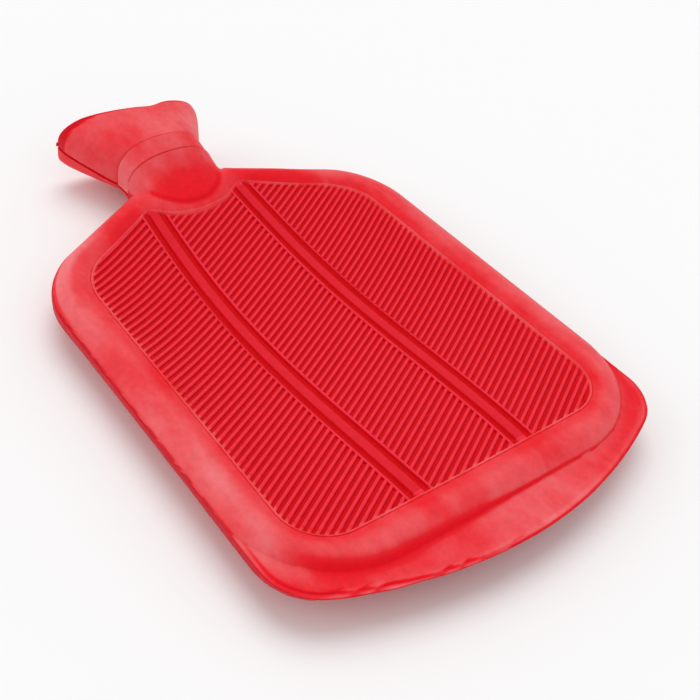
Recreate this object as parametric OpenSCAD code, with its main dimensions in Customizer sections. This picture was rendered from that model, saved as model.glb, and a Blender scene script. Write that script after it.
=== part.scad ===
/* [Overall] */
// Length from the base edge to the farthest point of the funnel's lip
total_len = 320; // [316:1:326]
// Width over the seam near the base
base_w = 205; // [200:1:210]
// Width over the seam at the shoulders
shoulder_w = 197; // [192:0.5:201]
// Height of the middle of the seam above the surface that the bottle lies on
seam_h = 16.5; // [15.5:0.25:18.5]
// Thickness of the rubber wall
wall = 2.2; // [1.8:0.1:2.5]

/* [Seam and base flange] */
// Thickness of the trimmed seam edge
seam_t = 5; // [4:0.25:6]
// Radius of the long curve of the base edge
base_r = 205; // [190:1:250]
// Radius of the corners of the base edge
base_corner_r = 26; // [20:1:32]
// Depth of the flat flange in front of the body at the base
flange_w = 19.6; // [16:0.2:22]
// Radius of the body's own corners behind the flange
foot_corner_r = 50; // [42:1:54]
// How far the lower edge of the flange is trimmed back
base_trim = 3.5; // [0:0.25:5]
// Width of the bonded seam round the inside
bond_w = 5; // [4:0.25:6]

/* [Shoulders] */
// Length of the neck and funnel, from the shoulders at the neck's root to the funnel's lip
neck_l = 54.1; // [51:0.1:57]
// Slope of the shoulders
shoulder_a = 28; // [25:0.5:31]
// Radius of the shoulder corners
shoulder_r = 47; // [40:1:54]

/* [Front panel] */
// Width of the smooth margin between the seam and the bead of the panel
margin_w = 19.5; // [17:0.5:21]
// Distance from the body's foot at the base to the bead of the panel
base_margin = 18.8; // [16:0.2:21]
// Distance along the bottle between the slopes of the seam and of the bead at the shoulders
top_margin = 17.2; // [15:0.2:19]
// Height of the panel's bead above the top of the seam edge
panel_rise = 3; // [2:0.25:4]
// How far the margin swells above the line from seam to bead
swell = 2.6; // [1.5:0.1:3.5]
// Depth that the empty bottle's front panel sags in the middle
sag = 10; // [7:0.25:10.5]
// Depth of the panel's floor below its bead line
floor_d = 1; // [0.8:0.05:1.2]
// Height of the beads and the divider bands above the bead line
bead_h = 0.6; // [0.4:0.05:0.9]
// Corner radius of the panel at the base
panel_r = 21; // [17:0.5:25]
// Corner radius of the panel at the shoulders
panel_top_r = 34; // [26:0.5:38]
// Radius of the panel's edge round the neck
neck_arc_r = 40; // [36:0.5:44]

/* [Ribs] */
// Distance from rib to rib
rib_pitch = 3.23; // [3:0.01:3.6]
// Angle of the ribs to the bottle's width
rib_a = 29; // [24:0.5:34]
// Height of a rib from valley to crest
rib_h = 0.9; // [0.6:0.05:1.1]
// Width of a rib's flat crest
rib_crest = 1.2; // [0.9:0.05:1.5]
// How far the valleys between the ribs lie below the bead line
rib_sunk = 0.4; // [0.2:0.05:0.5]

/* [Divider bands] */
// Distance from the middle line to a divider at its widest
divider_x = 29.8; // [27:0.2:33]
// How far a divider leans inwards at the neck
divider_lean = 4.1; // [2:0.1:5.5]
// Width of the raised band in the middle of a divider
band_w = 4.8; // [4:0.1:5.6]
// Width of the groove on each side of the band
groove_w = 3; // [2.4:0.1:3.6]
// Width of the thin line outside each groove
line_w = 1.2; // [0.9:0.1:1.6]

/* [Neck and funnel] */
// Length of the neck's dome over the shoulders
dome_l = 26; // [24:0.5:28]
// Half width of the neck over its seam
neck_hw = 24.4; // [23.6:0.1:25.5]
// How far the axis of the neck lies above the middle of the seam
neck_rise = 4.6; // [4.2:0.1:5]
// Distance from the root of the neck to the first ring step
ring_dist = 5.7; // [5:0.1:7]
// Length of the plain collar band between the two ring steps
collar_l = 10.2; // [9.4:0.2:11]
// Height of each ring step
collar_step = 0.5; // [0.3:0.05:0.7]
// Half width of the funnel's mouth
mouth_hw = 38.6; // [36:0.2:41]
// Height of the mouth's upper lip above the middle of the seam
mouth_up = 21.5; // [20.5:0.25:23]
// Depth of the mouth's lower lip below the middle of the seam
mouth_down = 11.4; // [10:0.2:12.5]
// How much farther the funnel's left lobe reaches than its middle line
mouth_skew = 4.5; // [0:0.25:6]
// Thickness of the funnel's lip
lip_t = 2.3; // [2:0.1:2.6]
// How far the lip dips in the middle of its width
lip_dip = 4; // [0:0.25:5]

/* [Socket, washer and stopper] */
// Radius of the threaded bore of the socket
bore_r = 9; // [8.6:0.05:9.2]
// Thickness of the socket's tube
socket_t = 3; // [2.6:0.1:3.2]
// Length of the socket
socket_l = 22; // [20:0.5:23]
// How far the two anchor rings stand out of the tube into the rubber
anchor_h = 1; // [0.8:0.05:1.1]
// Width of an anchor ring
anchor_w = 2.4; // [2:0.1:3]
// Gap between the stopper's shank and the socket's bore
shank_gap = 0.08; // [0.04:0.01:0.1]
// Length of the stopper's shank in the socket
shank_l = 18; // [15:0.5:19]
// Radius of the stopper's flange
flange_r = 12.1; // [11.6:0.05:12.2]
// Thickness of the stopper's flange
flange_t = 2.8; // [2.4:0.1:3.2]
// Wall of the stopper's hollow shank
shank_wall = 2.4; // [2:0.1:3]
// Width of the stopper's finger grip
grip_w = 22; // [19:0.5:23]
// Height of the stopper's finger grip
grip_l = 14; // [12:0.5:14.5]
// Thickness of the finger grip at its root
grip_t = 6.5; // [5:0.25:8]
// Thickness of the washer
washer_t = 2; // [1.6:0.1:2.4]
// Gap between the washer's bore and the stopper's neck
washer_gap = 0.15; // [0.05:0.05:0.2]
// Gap left round pieces that are moulded into the rubber
mould_gap = 0.03; // [0.02:0.01:0.06]

/* [Hidden] */
rubber_red = [0.86, 0.09, 0.13];
brass = [0.80, 0.66, 0.36];
black = [0.07, 0.07, 0.08];
washer_grey = [0.80, 0.78, 0.72];

seam_top = seam_t / 2;
half_base = base_w / 2;
half_shoulder = shoulder_w / 2;
neck_root = total_len - neck_l;
// Half widths at the root of the neck: of the seam's slopes, and of the panel's
root_hw = 27;
panel_root_hw = 26.3;
// The body's foot stands this far inside the seam's outline
foot_in = 0.8;
// Radius of the panel's and the foot's nearly straight base line
straight_r = 4000;
apex_y = neck_root + root_hw * tan(shoulder_a);
dome_y = neck_root - dome_l;
ring_y1 = neck_root + ring_dist;
ring_y2 = ring_y1 + collar_l;
socket_y0 = ring_y1 - 1;
socket_y1 = socket_y0 + socket_l;
rim_z = seam_h + seam_top + panel_rise;
floor_z = seam_h - 9;
mouth_y = total_len - mouth_skew;
panel_base = flange_w + base_margin;
panel_hw = half_base - margin_w;
panel_top_hw = half_shoulder - margin_w - 0.4;
panel_apex = apex_y - top_margin;
// Centre of the panel's edge round the neck, and where the panel's sag ends
neck_arc_y = neck_root + 12.9;
panel_end = neck_arc_y - neck_arc_r + 10;
// Between these two places the panel narrows from its base width to its shoulder width
taper_y0 = panel_base + 21.6;
taper_y1 = neck_root - 65.9;
// Above 1 the sag is deepest nearer to the neck; sag_edge is how flat the sides of the sag are
sag_lean = 1.35;
sag_edge = 3;
// The panel's lowest surface lies this far under its floor
under_d = 0.35;
// Middle line that the panel's inner rings draw together to
core_y0 = panel_base + 41.6;
core_y1 = neck_root - 60.9;
core_nose = 10;
// Bow of the divider bands: widest place and half length
bow_y = panel_base + 70.2;
bow_l = 130;
// Shares of the way from the foot (0) to the bead (1): the bond, the bead's two edges, the ribs'
// ends, the back's start under the seam and its run down to the flat
bond_t = bond_w / margin_w;
bead_foot_t = 0.93;
bead_top_t = 0.955;
rib_end_t = 0.985;
back_start_t = 0.17;
back_run_t = 0.6;
back_flat_t = 0.78;
// Slant of a groove's side
groove_slant = 0.4;
// Neck sections: top and bottom from the middle of the seam, at the two ring steps, the rise of the
// seam at the funnel's root, and the length of a step's slope
step_up = 18.7;
step_down = 13.6;
funnel_up = 22;
funnel_down = 10;
seam_rise = 3;
step_run = 0.3;
// Corner radius of the finger grip
grip_r = 5;
anchor_y = 3.5;
thin = 0.01;
far = 400;

// Outlines in plan: the right half, from the middle of the base to the middle of the neck end
function arc_pts(c, r, a0, a1, n) =
    [for (i = [1:n]) let (a = a0 + (a1 - a0) * i / n) c + r * [cos(a), sin(a)]];
function line_pts(p, q, n) = [for (i = [1:n]) p + (q - p) * i / n];
function corner_y(y0, r, rc, hw) = y0 + r - sqrt(pow(r - rc, 2) - pow(hw - rc, 2));
function shoulder_y(hw, rs, apex) =
    apex - tan(shoulder_a) * (hw - rs + rs * sin(shoulder_a)) - rs * cos(shoulder_a);
function half_outline(y0, r, rc, hw, hs, rs, apex, xt, top) =
    let (yc = corner_y(y0, r, rc, hw), ac = atan2(yc - y0 - r, hw - rc),
         ys = shoulder_y(hs, rs, apex), cs = [hs - rs, ys],
         pe = cs + rs * [sin(shoulder_a), cos(shoulder_a)],
         pt = [xt, apex - xt * tan(shoulder_a)])
    concat([[0, y0]],
           arc_pts([0, y0 + r], r, -90, ac, 5),
           arc_pts([hw - rc, yc], rc, ac, 0, 5),
           line_pts([hw, yc], [hs, ys], 8),
           arc_pts(cs, rs, 0, 90 - shoulder_a, 5),
           line_pts(pe, pt, 2),
           top ? [for (i = [2:-1:0]) let (x = xt * i / 3)
                  [x, neck_arc_y - sqrt(pow(neck_arc_r, 2) - x * x)]]
               : line_pts(pt, [0, pt[1]], 3));
function mirrored(half) =
    concat(half, [for (i = [len(half) - 2:-1:1]) [-half[i][0], half[i][1]]]);

// The seam's outline, the body's foot and the panel's bead line
function seam_line(back) = half_outline(back, base_r, base_corner_r, half_base, half_shoulder,
                                        shoulder_r, apex_y, root_hw - 6, false);
foot_half = half_outline(flange_w, straight_r, foot_corner_r, half_base - foot_in,
                         half_shoulder - foot_in, shoulder_r - foot_in,
                         apex_y - foot_in / cos(shoulder_a), root_hw, false);
function panel_outline(round_neck) =
    half_outline(panel_base, straight_r, panel_r, panel_hw, panel_top_hw,
                 panel_top_r, panel_apex, panel_root_hw, round_neck);
bead_half = panel_outline(true);
back_half = panel_outline(false);
foot = mirrored(foot_half);
bead = mirrored(bead_half);
back = mirrored(back_half);
n_ring = len(foot);

// The sagging front: height of the bead line's surface at any place on the panel
function panel_width(y) =
    panel_hw + (panel_top_hw - panel_hw) * min(1, max(0, (y - taper_y0) / (taper_y1 - taper_y0)));
function sag_along(y) =
    let (v = min(1, max(0, (y - panel_base) / (panel_end - panel_base))))
    sin(180 * pow(v, sag_lean));
function front_z(x, y) =
    rim_z - sag * sag_along(y) * (1 - pow(min(1, abs(x) / panel_width(y)), sag_edge));

// A ring of points between foot (t = 0) and bead (t = 1), and past it over the panel
function between(t) = [for (i = [0:n_ring - 1]) foot[i] + t * (bead[i] - foot[i])];
function inward(s) = [for (p = between(1.03)) let (
    nose = core_nose * max(0, 1 - abs(p[0]) / root_hw),
    y = min(max(p[1], core_y0), core_y1 + nose)) [p[0] * (1 - s), p[1] + s * (y - p[1])]];
function round_up(t) = sqrt(1 - pow(1 - min(t, 1), 2));
function margin_z(t, x, y) =
    let (z0 = seam_h + seam_top)
    z0 + (front_z(x, y) - z0) * round_up(t) + swell * sin(180 * min(t, 1));
function back_drop(t) = t < back_start_t ? 0 : min(1, pow((t - back_start_t) / back_run_t, 0.62));
function back_z(t) = (seam_h - seam_top) * (1 - back_drop(t));

// Rings as 3D points
function front_ring(t, dz) = [for (p = between(t)) [p[0], p[1], margin_z(t, p[0], p[1]) + dz]];
function panel_ring(s, dz) = [for (p = inward(s)) [p[0], p[1], front_z(p[0], p[1]) + dz]];
function flat_ring(t, z) = [for (i = [0:n_ring - 1]) let (p = foot[i] + t * (back[i] - foot[i]))
    [p[0], p[1], z]];

// Closed solid through a stack of rings, with the two end rings bridged from side to side
function stack_points(rings) = [for (r = rings) each r];
function stack_faces(m, n) = [for (j = [0:m - 2], i = [0:n - 1])
    let (a = j * n + i, b = j * n + (i + 1) % n) each [[a, b + n, b], [a, a + n, b + n]]];
function bridge(n, first, flip) = [for (i = [0:n / 2 - 1])
    let (a = first + i, b = first + i + 1,
         c = first + (n - i - 1) % n, d = first + (n - i) % n)
    each (i == 0 ? [flip ? [a, b, c] : [a, c, b]]
        : i == n / 2 - 1 ? [flip ? [a, b, d] : [a, d, b]]
        : flip ? [[a, b, c], [a, c, d]] : [[a, c, b], [a, d, c]])];
module ring_solid(rings) {
    n = len(rings[0]);
    m = len(rings);
    polyhedron(points = stack_points(rings),
               faces = concat(stack_faces(m, n), bridge(n, 0, true), bridge(n, (m - 1) * n, false)),
               convexity = 6);
}

// Outer form of the body: flat back, swelling margins, bead and sunk panel
module body_skin() {
    z0 = seam_h - seam_top;
    ring_solid([
        flat_ring(back_flat_t, 0),
        for (t = [0.6, 0.4, 0.24]) flat_ring(t, back_z(t)),
        flat_ring(back_start_t, z0),
        flat_ring(0, z0 + 1),
        for (t = [0, 0.06, 0.2, 0.42, 0.7, bead_foot_t]) front_ring(t, 0),
        front_ring(bead_top_t, bead_h),
        front_ring(1, bead_h),
        for (s = [0, 0.2, 0.7]) panel_ring(s, -floor_d - under_d)
    ]);
}

// Space inside the body
module body_space() {
    drop = floor_d + under_d + wall;
    ring_solid([
        flat_ring(0.9, wall),
        for (t = [0.62, 0.42]) flat_ring(t, back_z(t) + wall),
        flat_ring(bond_t, seam_h),
        for (t = [0.36, 0.6]) front_ring(t, -wall),
        front_ring(bead_foot_t, -drop),
        for (s = [0.2, 0.7]) panel_ring(s, -drop)
    ]);
}

// Seam edge and base flange: a flat band all round, as wide inside as the bond.
// The lower edge of the base flange is trimmed back at a slant.
module seam_plate() {
    z0 = seam_h - seam_top;
    difference() {
        ring_solid([for (t = [0, 1])
            [for (p = mirrored(seam_line(base_trim * (1 - t)))) [p[0], p[1], z0 + t * seam_t]]]);
        translate([0, 0, z0 - 1]) linear_extrude(seam_t + 2) polygon(between(bond_t));
    }
}

// Rib lines: each line runs along the rib direction at one place across the ribs
rib_dir = [cos(rib_a), sin(rib_a)];
rib_across = [-sin(rib_a), cos(rib_a)];
rib_mid = [0, (panel_base + panel_end) / 2];
rib_reach = (panel_end - panel_base) * cos(rib_a) / 2 + panel_hw * sin(rib_a);
rib_rows = ceil(rib_reach / rib_pitch);
rib_lines = [for (k = [-rib_rows:rib_rows], s = [[0, 0], [(rib_pitch - rib_crest) / 2, 1],
                                                 [(rib_pitch + rib_crest) / 2, 1]])
    [k * rib_pitch + s[0], s[1]]];
rib_limit = between(rib_end_t);

// Where a line from o along d crosses a polygon, as distances along the line
function crossings(o, d, poly) = [for (i = [0:len(poly) - 1])
    let (p = poly[i], e = poly[(i + 1) % len(poly)] - p, w = p - o,
         den = d[0] * e[1] - d[1] * e[0])
    if (abs(den) > 1e-9)
        let (s = (w[0] * d[1] - w[1] * d[0]) / den)
        if (s >= 0 && s < 1) (w[0] * e[1] - w[1] * e[0]) / den];
// Where a line meets a divider's long line at a distance x from the divider's middle
function at_divider(o, side, x, u, n) = n == 0 ? u
    : let (y = o[1] + u * rib_dir[1])
      at_divider(o, side, x, (side * (divider_at(y) + x) - o[0]) / rib_dir[0], n - 1);
function arc_hit(o) = let (w = o - [0, neck_arc_y - 0.7], b = w * rib_dir,
                           disc = b * b - w * w + pow(neck_arc_r, 2))
    disc > 0 ? -b - sqrt(disc) : far;

// The stretch of one rib line inside a field: side -1, 0 or 1
function stretch(v, side) =
    let (o = rib_mid + v * rib_across, cut = crossings(o, rib_dir, rib_limit),
         e = band_w / 2 + groove_w + line_w / 2)
    len(cut) < 2 ? [0, 0]
    : side < 0 ? [min(cut), min(max(cut), at_divider(o, -1, e, -30, 4))]
    : side > 0 ? [max(min(cut), at_divider(o, 1, e, 30, 4)), max(cut)]
    : [max(min(cut), at_divider(o, -1, -e, -30, 4)),
       min(max(cut), at_divider(o, 1, -e, 30, 4), arc_hit(o))];

// One ribbed field, a solid whose top is corrugated and follows the sagging front
module rib_field(side) {
    rows = [for (l = rib_lines) let (s = stretch(l[0], side))
            if (s[1] - s[0] > 1.2) [l[0], l[1], s[0], s[1]]];
    fr = side == 0 ? [0, 1] : [0, side < 0 ? 0.4 : 0.6, 1];
    nf = len(fr);
    nv = len(rows);
    top = [for (r = rows, f = fr)
        let (p = rib_mid + r[0] * rib_across + (r[2] + f * (r[3] - r[2])) * rib_dir)
        [p[0], p[1], front_z(p[0], p[1]) - rib_sunk + rib_h * r[1]]];
    low = [for (r = rows, e = [2, 3]) let (p = rib_mid + r[0] * rib_across + r[e] * rib_dir)
        [p[0], p[1], floor_z]];
    off = nf * nv;
    polyhedron(points = concat(top, low), convexity = 10, faces = concat(
        [for (j = [0:nv - 2], i = [0:nf - 2]) let (a = j * nf + i)
            each [[a, a + nf, a + nf + 1], [a, a + nf + 1, a + 1]]],
        [for (j = [0:nv - 2]) let (a = off + 2 * j) each [[a, a + 1, a + 3], [a, a + 3, a + 2]]],
        [for (j = [0:nv - 2]) let (a = off + 2 * j, t = j * nf) each [[a, a + 2, t + nf], [a, t + nf, t]]],
        [for (j = [0:nv - 2]) let (a = off + 2 * j + 1, t = (j + 1) * nf - 1)
            each [[a, t, t + nf], [a, t + nf, a + 2]]],
        [[for (i = [0:nf - 1]) i, off + 1, off]],
        [[for (i = [nf - 1:-1:0]) nf * (nv - 1) + i, off + 2 * nv - 2, off + 2 * nv - 1]]));
}

// A divider: raised band, a groove on each side and a thin line outside each groove
function divider_at(y) = divider_x - divider_lean * pow((y - bow_y) / bow_l, 2);
module divider(side) {
    b = band_w / 2;
    e = b + groove_w;
    s = groove_slant;
    prof = [[-e - line_w, -far], [-e - line_w, bead_h], [-e, bead_h], [-e + s, -floor_d],
            [-b - s, -floor_d], [-b, bead_h], [b, bead_h], [b + s, -floor_d],
            [e - s, -floor_d], [e, bead_h], [e + line_w, bead_h], [e + line_w, -far]];
    n = len(prof);
    ys = [for (i = [0:13]) panel_base - 1 + i * (panel_end - panel_base) / 13];
    m = len(ys);
    pts = [for (y = ys, p = prof) let (x = divider_at(y) + p[0])
        [side * x, y, p[1] == -far ? floor_z : front_z(divider_at(y), y) + p[1]]];
    turn = side > 0;
    wall_faces = [for (j = [0:m - 2], i = [0:n - 1]) let (a = j * n + i, b = j * n + (i + 1) % n)
        each [[a, b, b + n], [a, b + n, a + n]]];
    caps = [[for (i = [n - 1:-1:0]) i], [for (i = [0:n - 1]) (m - 1) * n + i]];
    polyhedron(points = pts, convexity = 10,
               faces = turn ? [for (f = concat(wall_faces, caps)) [for (i = [len(f) - 1:-1:0]) f[i]]]
                            : concat(wall_faces, caps));
}

// Sections of the neck, each [y, half width, top, bottom, seam's rise, squareness]: top, bottom
// and rise are measured from the middle of the seam. From side = -1 to 1 the lip leans back.
function section(q, skew, dip) =
    [for (k = [0:27]) let (
        a = k * 180 / 14,
        u = sign(cos(a)) * pow(abs(cos(a)), 2 / q[5]),
        h = pow(abs(sin(a)), 2 / q[5]),
        z = k < 14 ? q[4] + seam_top + (q[2] - q[4] - seam_top) * h
                   : q[4] - seam_top - (q[3] + q[4] - seam_top) * h)
        [q[1] * u, q[0] - dip * pow(1 - min(1, abs(u)), 0.7) - skew * u, seam_h + z]];
funnel_f = [0.2, 0.42, 0.65, 0.85, 1];
flare_f = [0.26, 0.52, 0.78, 0.95, 1];
function funnel_q(i) = let (f = funnel_f[i])
    [ring_y2 + f * (mouth_y - ring_y2), neck_hw + (mouth_hw - neck_hw) * flare_f[i],
     funnel_up + (mouth_up - funnel_up) * f, funnel_down + (mouth_down - funnel_down) * f,
     seam_rise, 2.4 + 0.4 * f];
function dip_at(f) = lip_dip * pow(max(0, (f - 0.6) / 0.4), 2);
function neck_outer() = let (s = collar_step, w = neck_hw - 0.2) concat(
    [for (q = [[dome_y, 10, 4, 13, 0, 2.2],
               [dome_y + 5, 16.5, 6, 14, 0, 2.2],
               [dome_y + 11.5, 21.5, 8.7, 15, 0, 2.2],
               [dome_y + 19, 24, 11.4, 15.3, 0, 2.2],
               [neck_root + 0.5, neck_hw, 15.4, 14.8, 0.6, 2.2],
               [ring_y1, neck_hw, step_up, step_down, 1.6, 2.3],
               [ring_y1 + step_run, neck_hw - s, step_up - s, step_down - s, 1.6, 2.3],
               [ring_y2, w, funnel_up, funnel_down, seam_rise, 2.4],
               [ring_y2 + step_run, w - s, funnel_up - s, funnel_down - s, seam_rise, 2.4]])
     section(q, 0, 0)],
    [for (i = [0:4]) section(funnel_q(i), mouth_skew * funnel_f[i], dip_at(funnel_f[i]))]);
// The hollow of the funnel starts as a round seat for the washer, and ends past the lip
function funnel_inner() = let (t = lip_t, r = flange_r + 0.5) concat(
    [section([socket_y1 - thin, r + 4, r + neck_rise, r - neck_rise, neck_rise / 2, 2.2], 0, 0)],
    [for (i = [2:4]) let (q = funnel_q(i), f = funnel_f[i])
        section([q[0] + (i == 4 ? 1 : 0), q[1] - t, q[2] - t, q[3] - t, q[4], q[5] - 0.1],
                mouth_skew * f, i == 4 ? 0 : dip_at(f))]);
function neck_passage() = [
    for (q = [[dome_y + 5, 9, 3, 11.4, 0, 2.2],
              [dome_y + 11.5, 16, 5.6, 12, 0, 2.2],
              [dome_y + 19, 18, 8.6, 12, 0, 2.2],
              [neck_root + 0.5, 17, 12.4, 11, 0.6, 2.2],
              [socket_y0 + thin, bore_r + 3, neck_rise + bore_r + 2.6,
               bore_r + 2.6 - neck_rise, neck_rise, 2]])
        section(q, 0, 0)];
module tube(sections) {
    n = len(sections[0]);
    m = len(sections);
    polyhedron(points = stack_points(sections), convexity = 6, faces = concat(
        [for (j = [0:m - 2], i = [0:n - 1]) let (a = j * n + i, b = j * n + (i + 1) % n)
            each [[a, b, b + n], [a, b + n, a + n]]],
        [[for (i = [n - 1:-1:0]) i]],
        [[for (i = [0:n - 1]) (m - 1) * n + i]]));
}

// Puts a turned piece on the neck's axis, with y as its height
module on_neck_axis(y) {
    translate([0, y, seam_h + neck_rise]) rotate([-90, 0, 0]) children();
}
// The socket's half section. In the rubber it is a polygon of n sides drawn round the outside.
module socket_profile(gap, n) {
    r = (bore_r + socket_t) / (n > 0 ? cos(180 / n) : 1) + gap;
    y1 = anchor_y;
    y2 = socket_l - anchor_y;
    polygon([[bore_r, 0], [r, 0], [r, y1 - gap], [r + anchor_h, y1 - gap],
             [r + anchor_h, y1 + anchor_w + gap], [r, y1 + anchor_w + gap],
             [r, y2 - anchor_w - gap], [r + anchor_h, y2 - anchor_w - gap],
             [r + anchor_h, y2 + gap], [r, y2 + gap], [r, socket_l], [bore_r, socket_l]]);
}

module bottle_body() {
    color(rubber_red)
    // One moulding: a new size of 0 keeps each side as it is built
    resize([0, 0, 0]) difference() {
        union() {
            body_skin();
            seam_plate();
            tube(neck_outer());
            for (side = [-1, 0, 1]) rib_field(side);
            for (side = [-1, 1]) divider(side);
        }
        body_space();
        tube(neck_passage());
        tube(funnel_inner());
        on_neck_axis(socket_y0) {
            rotate_extrude($fn = 24) socket_profile(mould_gap, 24);
            cylinder(r = bore_r + 1, h = socket_l + 1, $fn = 24);
        }
    }
}

module neck_socket() {
    color(brass)
    on_neck_axis(socket_y0) rotate_extrude($fn = 96) socket_profile(0, 0);
}

module stopper_washer() {
    color(washer_grey)
    on_neck_axis(socket_y1) difference() {
        cylinder(r = flange_r - 0.2, h = washer_t, $fn = 96);
        translate([0, 0, -1]) cylinder(r = bore_r - shank_gap + washer_gap, h = washer_t + 2, $fn = 96);
    }
}

module stopper() {
    r = bore_r - shank_gap;
    color(black)
    on_neck_axis(socket_y1 + washer_t) difference() {
        union() {
            translate([0, 0, -washer_t - shank_l]) cylinder(r = r, h = washer_t + shank_l + 1, $fn = 96);
            cylinder(r = flange_r, h = flange_t, $fn = 96);
            intersection() {
                rotate([90, 0, 0]) linear_extrude(grip_t, center = true) grip_outline();
                cylinder(r = flange_r, h = flange_t + grip_l + 1, $fn = 96);
            }
        }
        translate([0, 0, -washer_t - shank_l - 1])
            cylinder(r = r - shank_wall, h = shank_l + washer_t, $fn = 96);
    }
}
module grip_outline() {
    h = grip_l + 1;
    translate([0, flange_t - 1]) union() {
        translate([-grip_w / 2, 0]) square([grip_w, h - grip_r]);
        translate([-grip_w / 2 + grip_r, 0]) square([grip_w - 2 * grip_r, h]);
        for (s = [-1, 1]) translate([s * (grip_w / 2 - grip_r), h - grip_r])
            circle(r = grip_r, $fn = 48);
    }
}

// The origin is under the middle of the whole bottle
module centred() {
    translate([0, -total_len / 2, 0]) children();
}

centred() bottle_body();
centred() neck_socket();
centred() stopper_washer();
centred() stopper();
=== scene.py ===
"""A moulded rubber hot water bottle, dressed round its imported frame."""

import math
import bmesh
import bpy
import numpy as np
from bpy.props import FloatProperty, FloatVectorProperty, PointerProperty
from mathutils import Matrix, Vector
from mathutils.kdtree import KDTree


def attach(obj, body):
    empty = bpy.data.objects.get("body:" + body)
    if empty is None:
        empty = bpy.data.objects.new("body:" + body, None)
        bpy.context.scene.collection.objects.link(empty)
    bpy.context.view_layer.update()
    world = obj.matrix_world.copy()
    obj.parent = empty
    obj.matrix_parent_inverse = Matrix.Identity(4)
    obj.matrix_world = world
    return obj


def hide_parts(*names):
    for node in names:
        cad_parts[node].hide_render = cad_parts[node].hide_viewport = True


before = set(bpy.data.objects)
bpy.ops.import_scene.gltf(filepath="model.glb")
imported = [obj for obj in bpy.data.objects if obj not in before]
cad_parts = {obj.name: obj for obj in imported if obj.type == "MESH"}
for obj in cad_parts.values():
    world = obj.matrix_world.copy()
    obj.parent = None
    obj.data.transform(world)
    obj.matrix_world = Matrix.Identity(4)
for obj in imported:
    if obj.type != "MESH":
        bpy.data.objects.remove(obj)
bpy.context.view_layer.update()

bl_info = {
    "name": "Rubber Hot Water Bottle",
    "version": (1, 0, 0),
    "blender": (4, 5, 0),
    "location": "View3D > Sidebar > Bottle",
    "description": "Builds a moulded rubber hot water bottle with ribs, funnel and stopper",
    "category": "Add Mesh",
}

# Sizes of the bottle in millimetres. Its places are measured from under the middle of its base
LEN = 320.0
BASE_HW, SHOULDER_HW = 102.5, 98.5
SEAM_H, SEAM_T, WALL = 16.5, 5.0, 2.2
SEAM_LOW, SEAM_TOP = SEAM_H - SEAM_T / 2, SEAM_H + SEAM_T / 2
FLANGE_W, BASE_R, BASE_CORNER_R = 19.6, 205.0, 26.0
FOOT_R, FOOT_CORNER_R, FOOT_IN = 4000.0, 50.0, 0.8
BASE_TRIM, BOND_T = 3.5, 5.0 / 19.5
NECK_ROOT, SHOULDER_A, SHOULDER_R = 265.9, 28.0, 47.0
ROOT_HW, NECK_END_HW = 27.0, 26.3
APEX_Y = NECK_ROOT + ROOT_HW * math.tan(math.radians(SHOULDER_A))
PANEL_BASE, PANEL_HW, PANEL_TOP_HW = 38.4, 83.0, 78.6
PANEL_R, PANEL_TOP_R, PANEL_APEX = 21.0, 34.0, APEX_Y - 17.2
ARC_R, ARC_Y = 40.0, NECK_ROOT + 12.9
PANEL_END = ARC_Y - ARC_R + 10
RIM_Z, SAG, SWELL = 22.0, 10.0, 2.6
FILLET, SLOPE, SOFT = 3.2, 0.7, 1.2  # reach of the foot's fillet, its run-out slope and softness
RIB_SUNK, RIB_MIN = 0.4, 1.2
BAND_W, GROOVE_W, LINE_W, GROOVE_D = 4.8, 3.0, 1.2, 1.0
NECK_HW, NECK_RISE, STEP = 24.4, 4.6, 0.5
AXIS_Z = SEAM_H + NECK_RISE
RING_Y1, RING_Y2 = NECK_ROOT + 5.7, NECK_ROOT + 15.9
MOUTH_HW, MOUTH_UP, MOUTH_DOWN, SKEW, LIP_T, LIP_DIP = 38.6, 21.5, 10.2, 4.5, 2.3, 4.0
MOUTH_Y = LEN - SKEW
FUNNEL_L = MOUTH_Y - RING_Y2
BORE_R, SOCKET_T, SOCKET_L = 9.0, 3.0, 22.0
ANCHOR_IN, ANCHOR_W, ANCHOR_T = 3.5, 2.4, 1.0
SOCKET_Y0 = RING_Y1 - 1
SOCKET_Y1 = SOCKET_Y0 + SOCKET_L
FLANGE_R, FLANGE_T, WASHER_T, SHANK_L = 12.1, 2.8, 2.0, 18.0
SHANK_R, SHANK_WALL = BORE_R - 0.08, 2.4
GRIP_W, GRIP_L, GRIP_T = 22.0, 14.0, 6.5
THREAD_PITCH, SOCKET_THREAD_IN, STOPPER_THREAD_IN = 4.0, 2.2, 1.6
# a ring step in section: distance along the neck and depth, with a fine groove behind the edge
RING_GROOVE = ((0.08, 0.1), (0.16, 0.55), (0.3, 0.95), (0.55, 1.0), (0.8, 0.8), (1.1, STEP))
# the bead in section: share of the way from foot to bead line, and height over the margin
BEAD_SHAPE = (
    (0.938, -0.12), (0.946, 0.1), (0.954, 0.42), (0.966, 0.6), (0.985, 0.62), (0.998, 0.5), (1.01, 0.2)
)
# the grip in section, from its hollow to its rim: share of its outline, and of half its thickness
GRIP_SHAPE = ((0.45, 0.62), (0.62, 0.66), (0.8, 0.86), (0.88, 1.0), (0.94, 0.97), (0.985, 0.78), (1, 0.5))
FINE = 6  # points for each step of the part's own outlines
HALF_RING = 72  # points on the upper and on the lower half of a neck section


def to_linear(hex_colour):
    """An sRGB hex colour as linear RGBA."""
    part = [int(hex_colour[i : i + 2], 16) / 255 for i in (1, 3, 5)]
    return tuple(c / 12.92 if c <= 0.04045 else ((c + 0.055) / 1.055) ** 2.4 for c in part) + (1.0,)


def ease(a, b, v):
    """0 where v is at a, 1 where it is at b, and smooth between."""
    t = np.clip((v - a) / (b - a), 0, 1)
    return t * t * (3 - 2 * t)


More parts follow.
